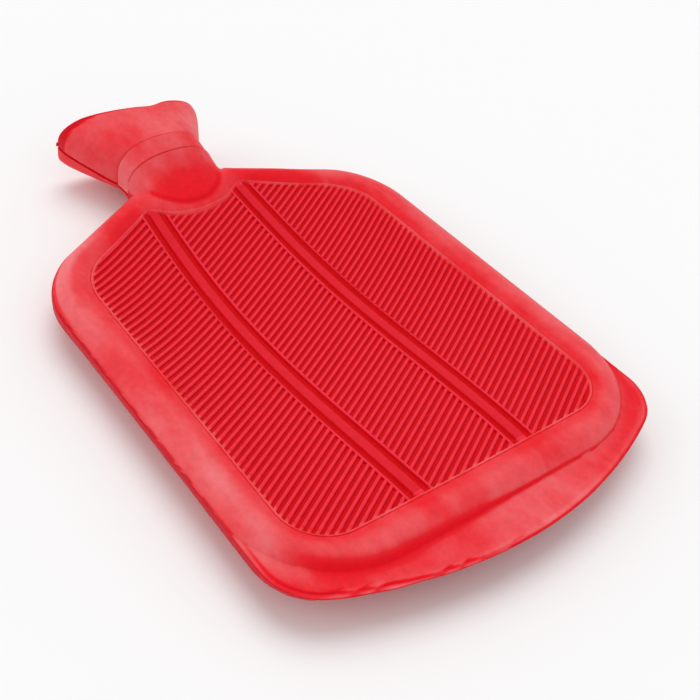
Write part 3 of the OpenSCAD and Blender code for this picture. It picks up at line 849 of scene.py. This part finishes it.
def dome_tone(x, y, around):
    """The dome's painted light: a painted highlight at its left, painted shade low in the middle, and a
    crescent of painted shade at its foot.
    """
    side = ease(-13, -26, x)
    oval = np.hypot(x / 20.5, (y - NECK_ROOT + 1.9) / 19.6)
    dome = (0.14 + 0.5 * ease(NECK_ROOT - 14, RING_Y1, y)) * (1 - side) + 0.85 * side
    arch = np.maximum(0.44, around * 0.8) + 0.1 * side
    crescent_shade = hump(oval, 1, 0.055) * ease(NECK_ROOT - 4, NECK_ROOT - 11, y) * (1 - 0.7 * side)
    shell = np.maximum(ease(1.03, 0.97, oval), ease(NECK_ROOT - 6, NECK_ROOT + 4, y))
    return (arch + (dome - arch) * shell) * (1 - crescent_shade) - 0.3 * crescent_shade


def own_section(x, y):
    """Where each point's own section stands along the funnel, without its dip and skew."""
    u, near, far = np.clip(x / MOUTH_HW, -1, 1), y, y + 14
    for _ in range(16):
        mid = (near + far) / 2
        f = np.clip((mid - RING_Y2) / FUNNEL_L, 0, 1)
        short = mid - SKEW * f * u - dip_at(f) * lip_shape(u) < y
        near, far = np.where(short, mid, near), np.where(short, far, mid)
    return mid


def funnel_tone(x, y, z):
    """Collar and funnel: painted highlight on the collar's left and the funnel's right, painted shade along
    the lip and under the side grooves.
    """
    f = np.clip((y - RING_Y2) / FUNNEL_L, 0, 1)
    collar = 0.62 + 0.35 * ease(-13, -26, x)
    tone = np.where(y < RING_Y2, collar, 0.6 + 0.36 * ease(-5, 22, x) * ease(0.8, 0.3, f))
    own = own_section(x, y)
    # painted shade along the lip's edge, wider at the left
    rim = 2.4 + 0.8 * ease(-14, -36, x)
    tone -= (0.95 - 0.3 * ease(-20, 0, x)) * ease(rim, rim - 1.0, MOUTH_Y - own)
    f = np.clip((own - RING_Y2) / FUNNEL_L, 0, 1)
    # under the side grooves the lower shell is painted deeper as shade
    return np.where(z < seam_z(f) - 0.3, 0.45, tone)


def paint_moulding(obj):
    """Vertex values that the rubber's finish reads: its painted light and shade, and its height over the sunk
    panel.
    """
    mesh = obj.data
    co = np.empty(len(mesh.vertices) * 3)
    mesh.vertices.foreach_get("co", co)
    co = co.reshape(-1, 3) * 1000 + [0, LEN / 2, 0]
    x, y, z = co.T
    relief = z - sag_z(x, y)
    on_panel = points_in(toward_bead(1.012), x, y) & (relief > -1.6)
    # the dividers' bands get a middle tone between the ribs' painted shade and painted highlight
    on_band = (np.abs(np.abs(x) - divider_x(y)) < BAND_W / 2 + 0.3) & (relief > 0)
    relief = np.where(on_band, 0.16, relief)

    tone = body_tone(x, y, z)
    blend = ease(NECK_ROOT - 33, NECK_ROOT - 27, y) * ease(34, 27, np.abs(x))
    on_neck = (y > NECK_ROOT - 34) & (z > SEAM_H + 2)
    tone = np.where(on_neck, tone * (1 - blend) + dome_tone(x, y, tone) * blend, tone)
    on_funnel = (y > RING_Y1) & (np.abs(x) < MOUTH_HW + 1)
    tone = np.where(on_funnel, funnel_tone(x, y, z), tone)
    # painted shade in the two ring grooves and along the floor of the side grooves
    for ring in (RING_Y1, RING_Y2):
        in_groove = (z > SEAM_H) & (y > ring + 0.12) & (y < ring + 0.95) & (np.abs(x) < 26)
        tone = np.where(in_groove, -0.3, tone)
    floor = point_tree(np.vstack([seam_groove(side, 1.1) for side in (-1, 1)]))
    for i in np.flatnonzero(on_funnel):
        if floor.find(co[i])[2] < 0.9:
            tone[i] = -0.15
    tone[on_panel] = 0
    # beside the panel the relief reads 9, far over any height on it
    for name, values in (("light_and_shade_tone", tone), ("relief", np.where(on_panel, relief, 9.0))):
        att = mesh.attributes.new(name, "FLOAT", "POINT")
        att.data.foreach_set("value", values.astype(np.float32))


def build_moulding(form, material):
    """The one-piece rubber bottle."""
    body = skin()
    combine(body, seam_plate())
    combine(body, neck_solid())
    grooves = [seam_groove(side, 0) for side in (-1, 1)]
    ribs = rib_paths(form.rib_pitch * 1000, form.rib_angle)
    channels = divider_paths(BAND_W / 2 + GROOVE_W / 2, -0.2, GROOVE_D)
    bands = divider_paths(0, 0.5)
    lines = divider_paths(BAND_W / 2 + GROOVE_W + LINE_W / 2, 0.5)
    for name, paths, *sizes, operation in (
        ("seam_grooves", grooves, 2.2, 2.2, 1.6, 0.8, 0.2, "DIFFERENCE"),
        ("ribs", ribs, 2.7, 1.05, 1.2, 0.3, form.rib_round * 1000, "UNION"),
        ("channels", channels, 1.4, GROOVE_W + 1.5, 2.0, GROOVE_D - 0.15, 0.15, "DIFFERENCE"),
        ("bands", bands, BAND_W + 1.4, BAND_W - 0.6, 2.1, 1.5, 0.3, "UNION"),
        ("lines", lines, LINE_W + 0.5, LINE_W - 0.3, 1.6, 1.0, 0.2, "UNION"),
    ):
        combine(body, bars(name, paths, *sizes, material), operation)
    for part in (cavity(), passage(), funnel_hollow(), socket_seat()):
        combine(body, part, "DIFFERENCE")
    # a nub of flash where the mould parted at the lip's left end
    nub = [(-37.4, 317.4, 22.6), (-38.3, 318.1, 22.8), (-38.9, 318.5, 22.9)]
    combine(body, bars("flash_nub", [nub], 2.2, 1.4, 2.0, 1.0, 0.7, material))
    paint_moulding(body)
    return finish_mesh(body, material, 38)


# Socket and stopper
def socket_outline(gap):
    """The socket's outer profile with its two anchor rings, grown by a gap."""
    r = BORE_R + SOCKET_T + gap
    out = [(r, 0)]
    for y in (ANCHOR_IN, SOCKET_L - ANCHOR_IN - ANCHOR_W):
        low, high = y - gap, y + ANCHOR_W + gap
        out += [(r, low), (r + ANCHOR_T, low), (r + ANCHOR_T, high), (r, high)]
    return out


def socket_seat():
    """The seat in the rubber that the socket is moulded into."""
    gap, top = 0.03, SOCKET_L + 0.6
    profile = [(0, 0), *socket_outline(gap), (BORE_R + SOCKET_T + gap, top), (0, top)]
    return turned("seat", profile, 96, SOCKET_Y0)


def thread(name, radius, y0, turns, start, height, inward, material):
    """A right-hand thread ridge along the neck's axis, on a core or, inward, in a bore."""
    side = -1 if inward else 1
    a = np.linspace(0, turns, int(turns * 48) + 1)
    # the ridge rises out of its core over an eighth of a turn at each end
    sunk = 1 - np.clip(np.minimum(a, turns - a) * 8, 0, 1)
    r = radius - 1.1 * sunk * side
    # turned a hair further, so that no point of the ridge falls on an edge of its core
    angle = 2 * np.pi * a + start + 1e-6
    path = np.c_[r * np.cos(angle), r * np.sin(angle), a * THREAD_PITCH]
    ridge = bars(name, [path], 1.7, 0.8, height, 0.3, 0.12, material, side * math.pi / 2, (0, 0, 0))
    # the helix climbs along z; the neck's axis runs along y
    lay = Matrix.Translation((0, (y0 - LEN / 2) / 1000, AXIS_Z / 1000))
    ridge.data.transform(lay @ Matrix.Rotation(-math.pi / 2, 4, "X"))
    return ridge


def build_socket(material):
    """The brass socket with its inner thread."""
    r, cut = BORE_R + SOCKET_T, 0.5
    profile = [
        *socket_outline(0.0), (r, SOCKET_L - 0.3), (r - 0.3, SOCKET_L),
        (BORE_R + cut, SOCKET_L), (BORE_R, SOCKET_L - cut), (BORE_R, cut), (BORE_R + cut, 0),
    ]
    tube = turned("socket_brass", profile, 96, SOCKET_Y0)
    turns = (SOCKET_L - 2 * SOCKET_THREAD_IN) / THREAD_PITCH
    foot = SOCKET_Y0 + SOCKET_THREAD_IN
    combine(tube, thread("socket_ridge", BORE_R, foot, turns, 0.0, 1.15, True, material))
    return finish_mesh(tube, material, 30)


def build_stopper(material):
    """The stopper: threaded hollow shank, rounded flange and winged finger grip."""
    y0, low = SOCKET_Y1 + WASHER_T, -WASHER_T - SHANK_L
    core, bore, edge_r = SHANK_R - 1.0, SHANK_R - SHANK_WALL, FLANGE_T / 2
    profile = [
        (0, low + 3.2), (bore - 0.6, low + 3.2), (bore, low + 0.5), (bore + 0.3, low),
        (core - 0.5, low), (core, low + 0.5), (core, -WASHER_T - 1.6),
        (SHANK_R - 0.1, -WASHER_T - 0.9), (SHANK_R - 0.1, 0),
    ]
    for a in np.radians(np.linspace(-80, 80, 8)):
        profile.append((FLANGE_R - edge_r + edge_r * math.cos(a), edge_r + edge_r * math.sin(a)))
    profile += [(8.2, FLANGE_T), (7.2, FLANGE_T + 0.5), (0, FLANGE_T + 0.7)]
    body = turned("stopper_plastic", profile, 120, y0)
    combine(body, grip(y0))
    foot = y0 + low + STOPPER_THREAD_IN
    turns = (SHANK_L - STOPPER_THREAD_IN - 2) / THREAD_PITCH
    # the ridge starts where it runs midway between the socket's ridges
    apart = (foot - SOCKET_Y0 - SOCKET_THREAD_IN) / THREAD_PITCH
    start = (2 * math.pi * (apart + 0.5)) % (2 * math.pi)
    combine(body, thread("stopper_ridge", core, foot, turns, start, 1.25, False, material))
    return finish_mesh(body, material, 32)


def grip(y0):
    """A flat wing with softly rounded rim and a hollowed face for the fingers."""
    half, tall, r = GRIP_W / 2, FLANGE_T + GRIP_L, 5.0
    left = [(-half + 1.0, 0.5), (-half + 0.4, 2.4)]
    left += [
        (-half + r - r * math.cos(a), tall - r + r * math.sin(a)) for a in np.radians(np.linspace(0, 90, 9))
    ]
    pts = np.array(left + [(0, tall + 0.25)] + [(-u, v) for u, v in left[::-1]])
    centre = np.array([0, tall * 0.45])
    rings = []
    for shrink, z in GRIP_SHAPE:
        flat = centre + (pts - centre) * [shrink, 1 - (1 - shrink) * 0.8]
        for end in (slice(0, 2), slice(-2, None)):
            flat[end] = centre + (pts[end] - centre) * [shrink, 1]
        rings.append(at_z(flat, GRIP_T / 2 * z))
    rings += [ring * [1, 1, -1] for ring in rings[::-1]]
    return loft("grip", [ring + [0, y0, AXIS_Z] for ring in rings], caps="flat")


# Finishes
def blank(kind, name):
    """A new material or world with an empty node tree."""
    block = kind.new(name)
    block.use_nodes = True
    block.node_tree.nodes.clear()
    return block, block.node_tree


def close_material(mat, inputs):
    """Ends a material in its Principled shader."""
    bsdf = add_node(mat.node_tree, "ShaderNodeBsdfPrincipled", inputs)
    add_node(mat.node_tree, "ShaderNodeOutputMaterial", {"Surface": bsdf})
    return mat


def object_noise(tree, scale_mm, detail, rough, stretch=(1, 1, 1)):
    """Noise whose grains are about scale_mm across, in object space."""
    place = add_node(tree, "ShaderNodeTexCoord")
    mapped = add_node(tree, "ShaderNodeMapping", {0: place.outputs["Object"], "Scale": stretch})
    values = {"Vector": mapped, "Scale": 1000 / scale_mm, "Detail": detail, "Roughness": rough}
    return add_node(tree, "ShaderNodeTexNoise", values)


def cloudy(tree, cloud, low, high, gloss, full=0.7):
    """Base colour and roughness that go from one value to another with a cloud of noise.

    gloss is the roughness at both ends, and full is the noise value that gives the second one.
    """
    share = add_node(tree, "ShaderNodeMapRange", {0: cloud, 1: 0.3, 2: 0.7})
    rough = add_node(tree, "ShaderNodeMapRange", {0: cloud, 1: 0.3, 2: full, 3: gloss[0], 4: gloss[1]})
    tones = {0: share, 6: to_linear(low), 7: to_linear(high)}
    return {"Base Color": add_node(tree, "ShaderNodeMix", tones, data_type="RGBA"), "Roughness": rough}


def red_rubber(finish):
    """Vulcanised natural rubber, moulded: a saturated satin red, with painted highlights and painted shade
    read from the vertex tone.
    """
    mat, tree = blank(bpy.data.materials, "Vulcanised red rubber")
    light_and_shade_tone = add_node(tree, "ShaderNodeAttribute", attribute_name="light_and_shade_tone").outputs["Fac"]
    relief = add_node(tree, "ShaderNodeAttribute", attribute_name="relief").outputs["Fac"]
    # the painted highlight and shade, and the roughness, break up in clouds about 28 mm across, drawn out
    # along the bottle
    cloud = object_noise(tree, 28, 4, 0.6, (1.4, 0.7, 1))
    patch = add_node(tree, "ShaderNodeMapRange", {0: cloud, 1: 0.36, 2: 0.64, 3: 0.62, 4: 1.08})
    amount = add_node(tree, "ShaderNodeMath", {0: light_and_shade_tone, 1: patch}, operation="MULTIPLY")
    # painted shade, the crease's painted shade, the margin's own red and the painted highlight follow one
    # another as the tone rises
    smooth = tuple(finish.crease_shade_colour)
    for value, low, high, tone in (
        (light_and_shade_tone, 0.0, -1.0, finish.shade_colour),
        (amount, 0.0, 0.3, finish.margin_colour),
        (amount, 0.3, 1.0, finish.highlight_colour),
    ):
        share = add_node(tree, "ShaderNodeMapRange", {0: value, 1: low, 2: high})
        smooth = add_node(tree, "ShaderNodeMix", {0: share, 6: smooth, 7: tuple(tone)}, data_type="RGBA")
    # on the panel the ribs' crests are painted lighter as a highlight and the grooves between them deeper as
    # shade
    crest = add_node(tree, "ShaderNodeMapRange", {0: relief, 1: -0.08, 2: 0.48})
    tones = {0: crest, 6: tuple(finish.groove_shade_colour), 7: tuple(finish.crest_highlight_colour)}
    panel = add_node(tree, "ShaderNodeMix", tones, data_type="RGBA")
    off_panel = add_node(tree, "ShaderNodeMath", {0: relief, 1: 5.0}, operation="GREATER_THAN")
    whole = add_node(tree, "ShaderNodeMix", {0: off_panel, 6: panel, 7: smooth}, data_type="RGBA")
    # a fine mottle in the colour, some 3 mm across, from the compound itself
    fine = object_noise(tree, 3.2, 3, 0.55)
    mottle = add_node(tree, "ShaderNodeMapRange", {0: fine, 1: 0.3, 2: 0.72, 3: 0.93, 4: 1.04})
    colour = add_node(
        tree, "ShaderNodeMix", {0: 1.0, 6: whole, 7: mottle}, data_type="RGBA", blend_type="MULTIPLY"
    )
    low, high = finish.roughness - 0.06, finish.roughness + 0.08
    gloss = add_node(tree, "ShaderNodeMapRange", {0: cloud, 1: 0.3, 2: 0.75, 3: low, 4: high})
    # mould grain about 0.9 mm across, drawn coarser than the real one so that it shows
    grain = object_noise(tree, 0.9, 2, 0.5)
    wave = object_noise(tree, 14, 2, 0.4)
    height = add_node(tree, "ShaderNodeMath", {0: wave, 1: 6.0, 2: grain}, operation="MULTIPLY_ADD")
    bump = add_node(tree, "ShaderNodeBump", {"Strength": 0.25, "Distance": 0.00012, "Height": height})
    own = {"Base Color": colour, "Roughness": gloss, "Normal": bump, "IOR": 1.52, "Specular IOR Level": 0.13}
    return close_material(mat, own)


def turned_brass():
    """Turned brass: metal dulled by water, with fine rings from the tool."""
    mat, tree = blank(bpy.data.materials, "Turned brass")
    own = cloudy(tree, object_noise(tree, 6, 4, 0.6), "#B8924A", "#D9B86C", (0.28, 0.46), 0.75)
    # rings from the tool, 0.2467 mm apart along the neck: a wave of scale 1 has a band every tau / 20 m
    place = add_node(tree, "ShaderNodeTexCoord").outputs["Object"]
    values = {"Vector": place, "Scale": math.tau / 20 / 0.000246733, "Distortion": 0.4}
    rings = add_node(tree, "ShaderNodeTexWave", values, bands_direction="Y").outputs["Fac"]
    bump = add_node(tree, "ShaderNodeBump", {"Strength": 0.2, "Distance": 0.00003, "Height": rings})
    return close_material(mat, {**own, "Normal": bump, "Metallic": 1.0})


def moulded_plastic():
    """Moulded polypropylene: black, softly glossy, with a fine spark-eroded grain."""
    mat, tree = blank(bpy.data.materials, "Moulded polypropylene")
    own = cloudy(tree, object_noise(tree, 9, 3, 0.5), "#131315", "#1D1D20", (0.32, 0.42))
    grain = object_noise(tree, 0.4, 2, 0.5)
    bump = add_node(tree, "ShaderNodeBump", {"Strength": 0.2, "Distance": 0.00004, "Height": grain})
    return close_material(mat, {**own, "Normal": bump, "IOR": 1.49})


def washer_rubber():
    """Cut sheet rubber: matt grey white, slightly chalky."""
    mat, tree = blank(bpy.data.materials, "Cut sheet rubber")
    own = cloudy(tree, object_noise(tree, 4, 4, 0.6), "#BDB7A6", "#D6D1C4", (0.62, 0.78))
    grain = object_noise(tree, 0.5, 2, 0.6)
    bump = add_node(tree, "ShaderNodeBump", {"Strength": 0.3, "Distance": 0.00005, "Height": grain})
    return close_material(mat, {**own, "Normal": bump})


# Studio
def build_floor():
    """A wide sheet of pale paper just under the bottle."""
    mat, tree = blank(bpy.data.materials, "Matt studio paper")
    paper = add_node(tree, "ShaderNodeBsdfDiffuse", {"Color": to_linear("#FBFBFB")})
    add_node(tree, "ShaderNodeOutputMaterial", {"Surface": paper})
    reach, z = 6000.0, -0.2
    corners = [(u * reach, v * reach, z) for u, v in ((-1, -1), (1, -1), (1, 1), (-1, 1))]
    floor = place_mesh("floor", corners, [], [(0, 1, 2, 3)], (0, 0, 0))
    floor.data.materials.append(mat)


def build_world(studio):
    """Even soft light all round, seen as white walls under a dim ceiling."""
    world, tree = blank(bpy.data.worlds, "Studio")
    bpy.context.scene.world = world
    rays = add_node(tree, "ShaderNodeLightPath").outputs
    seen = rays["Is Camera Ray"]
    for ray in ("Is Glossy Ray", "Is Transmission Ray"):
        seen = add_node(tree, "ShaderNodeMath", {0: seen, 1: rays[ray]}, operation="MAXIMUM")
    soft = add_node(tree, "ShaderNodeBackground", {"Color": (1, 1, 1, 1), "Strength": studio.ambient})
    # the ceiling gets dimmer towards its middle
    way = add_node(tree, "ShaderNodeTexCoord").outputs["Generated"]
    height = add_node(tree, "ShaderNodeSeparateXYZ", {0: way}).outputs["Z"]
    dim = add_node(tree, "ShaderNodeMapRange", {0: height, 1: 0.1, 2: 0.45, 3: 1.0, 4: studio.ceiling})
    white = add_node(tree, "ShaderNodeBackground", {"Color": (1, 1, 1, 1), "Strength": dim})
    both = add_node(tree, "ShaderNodeMixShader", {0: seen, 1: soft, 2: white})
    add_node(tree, "ShaderNodeOutputWorld", {"Surface": both})


def build_lamps(studio):
    """Broad soft lamps whose light reaches the whole floor evenly."""
    lamps = (
        ("overhead light", studio.key, (0.35, 0.55, 1.5), 45),
        ("left light", studio.side, (-1.3, 0.5, 0.75), 35),
    )
    for name, strength, place, spread in lamps:
        data = bpy.data.lights.new(name, "SUN")
        data.energy = strength
        data.angle = math.radians(spread)
        lamp = bpy.data.objects.new(name, data)
        lamp.location = place
        lamp.visible_glossy = False
        lamp.rotation_euler = (-Vector(place)).to_track_quat("-Z", "Y").to_euler()
        bpy.context.scene.collection.objects.link(lamp)


def build_camera():
    """The camera, solved from the photograph's outline: its place, its right, down and ahead."""
    cam = bpy.data.cameras.new("camera")
    cam.sensor_width = 36
    cam.lens = 63.52
    cam.clip_start = 0.01
    eye = bpy.data.objects.new("camera", cam)
    right = Vector((0.7830, -0.6086, 0.1277))
    down = Vector((-0.3408, -0.5916, -0.7306))
    ahead = Vector((0.5204, 0.5286, -0.6706))
    turn = Matrix((right, -down, -ahead)).transposed().to_4x4()
    eye.matrix_world = Matrix.Translation((-0.2860, -0.3295, 0.3890)) @ turn
    bpy.context.scene.collection.objects.link(eye)
    bpy.context.scene.camera = eye


# Settings, operators and panel
def rubber_colour(name, description, tone):
    """A colour setting of the rubber."""
    return FloatVectorProperty(
        name=name, description=description, default=to_linear(tone), subtype="COLOR", size=4, min=0, max=1
    )


def light_level(name, description, default):
    """A strength setting of the studio light."""
    return FloatProperty(name=name, description=description, default=default, min=0)


class BottleForm(bpy.types.PropertyGroup):
    """Sizes of the ribs that a maker would change"""

    rib_pitch: FloatProperty(
        name="Rib Pitch", description="Distance from rib to rib", default=0.00323, min=0.002, max=0.006,
        unit="LENGTH", precision=5,
    )
    rib_angle: FloatProperty(
        name="Rib Angle", description="Angle of the ribs to the bottle's width", default=math.radians(29),
        subtype="ANGLE",
    )
    rib_round: FloatProperty(
        name="Rib Rounding", description="Radius on the ribs' crests", default=0.0004, unit="LENGTH",
        precision=5,
    )


class RubberFinish(bpy.types.PropertyGroup):
    """Colours and gloss of the red rubber"""

    # the margin is the rubber's own red; the rib crest and the pale red are painted highlight, and the
    # groove, crease and dark red are painted shade
    margin_colour: rubber_colour("Margin", "Red of the smooth margins", "#F0222E")
    highlight_colour: rubber_colour("Painted Highlight", "Pale red of the painted highlights", "#F5767A")
    crest_highlight_colour: rubber_colour("Rib Crest", "Red of the ribs' crests", "#F43044")
    groove_shade_colour: rubber_colour("Groove", "Deep red between the ribs", "#D8000C")
    crease_shade_colour: rubber_colour("Crease", "Saturated red of the crease at the base", "#F0041C")
    shade_colour: rubber_colour("Painted Shade", "Dark red of painted shade in fine grooves, along the lip and under the trimmed edge", "#A80C24")
    roughness: FloatProperty(
        name="Roughness", description="Mean roughness of the rubber", default=0.46, min=0, max=1,
        subtype="FACTOR",
    )


class StudioSet(bpy.types.PropertyGroup):
    """Lights of the stage"""

    key: light_level("Overhead Light", "Strength of the light from overhead", 1.05)
    side: light_level("Left Light", "Strength of the light from the left", 0.25)
    ambient: light_level("Ambient", "Strength of the soft light all round", 0.66)
    ceiling: light_level("Ceiling", "Brightness of the ceiling in reflections", 0.04)


class BOTTLE_OT_moulding(bpy.types.Operator):
    """Build the one-piece rubber bottle with its ribs, bead, flange and funnel"""

    bl_idname = "bottle.moulding"
    bl_label = "Rubber Moulding"

    def execute(self, context):
        material = red_rubber(context.scene.rubber_finish)
        body = build_moulding(context.scene.bottle_form, material)
        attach(body, "bottle")
        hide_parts("bottle_body")
        return {"FINISHED"}


class BOTTLE_OT_socket(bpy.types.Operator):
    """Build the threaded brass socket that is moulded into the neck"""

    bl_idname = "bottle.socket"
    bl_label = "Brass Socket"

    def execute(self, context):
        socket = build_socket(turned_brass())
        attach(socket, "bottle")
        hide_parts("neck_socket")
        return {"FINISHED"}


class BOTTLE_OT_stopper(bpy.types.Operator):
    """Build the screw stopper and give its washer the finish of cut rubber"""

    bl_idname = "bottle.stopper"
    bl_label = "Screw Stopper"

    def execute(self, context):
        stopper = build_stopper(moulded_plastic())
        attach(stopper, "stopper")
        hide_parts("stopper")
        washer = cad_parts["stopper_washer"]
        washer.data.materials.clear()
        washer.data.materials.append(washer_rubber())
        return {"FINISHED"}


class BOTTLE_OT_stage(bpy.types.Operator):
    """Set up the floor, the soft studio light and the camera"""

    bl_idname = "bottle.stage"
    bl_label = "Studio Stage"

    def execute(self, context):
        context.scene.view_settings.view_transform = "Standard"
        build_floor()
        build_world(context.scene.studio_set)
        build_lamps(context.scene.studio_set)
        build_camera()
        return {"FINISHED"}


class BOTTLE_PT_panel(bpy.types.Panel):
    """Lists the bottle's settings and pieces"""

    bl_idname = "BOTTLE_PT_panel"
    bl_label = "Hot Water Bottle"
    bl_space_type = "VIEW_3D"
    bl_region_type = "UI"
    bl_category = "Bottle"

    def draw(self, context):
        layout = self.layout
        for name in GROUPS:
            group, box = getattr(context.scene, name), layout.box()
            for prop in group.bl_rna.properties:
                if prop.identifier not in ("rna_type", "name"):
                    box.prop(group, prop.identifier)
        for op in OPERATORS:
            layout.operator(op.bl_idname)


GROUPS = {"bottle_form": BottleForm, "rubber_finish": RubberFinish, "studio_set": StudioSet}
OPERATORS = (BOTTLE_OT_moulding, BOTTLE_OT_socket, BOTTLE_OT_stopper, BOTTLE_OT_stage)


def register():
    for cls in (*GROUPS.values(), *OPERATORS, BOTTLE_PT_panel):
        bpy.utils.register_class(cls)
    for name, cls in GROUPS.items():
        setattr(bpy.types.Scene, name, PointerProperty(type=cls))


def unregister():
    for name in GROUPS:
        delattr(bpy.types.Scene, name)
    for cls in (BOTTLE_PT_panel, *OPERATORS[::-1], *list(GROUPS.values())[::-1]):
        bpy.utils.unregister_class(cls)


def main():
    """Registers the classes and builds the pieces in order."""
    register()
    bpy.ops.bottle.moulding()
    bpy.ops.bottle.socket()
    bpy.ops.bottle.stopper()
    bpy.ops.bottle.stage()


if __name__ == "__main__":
    main()
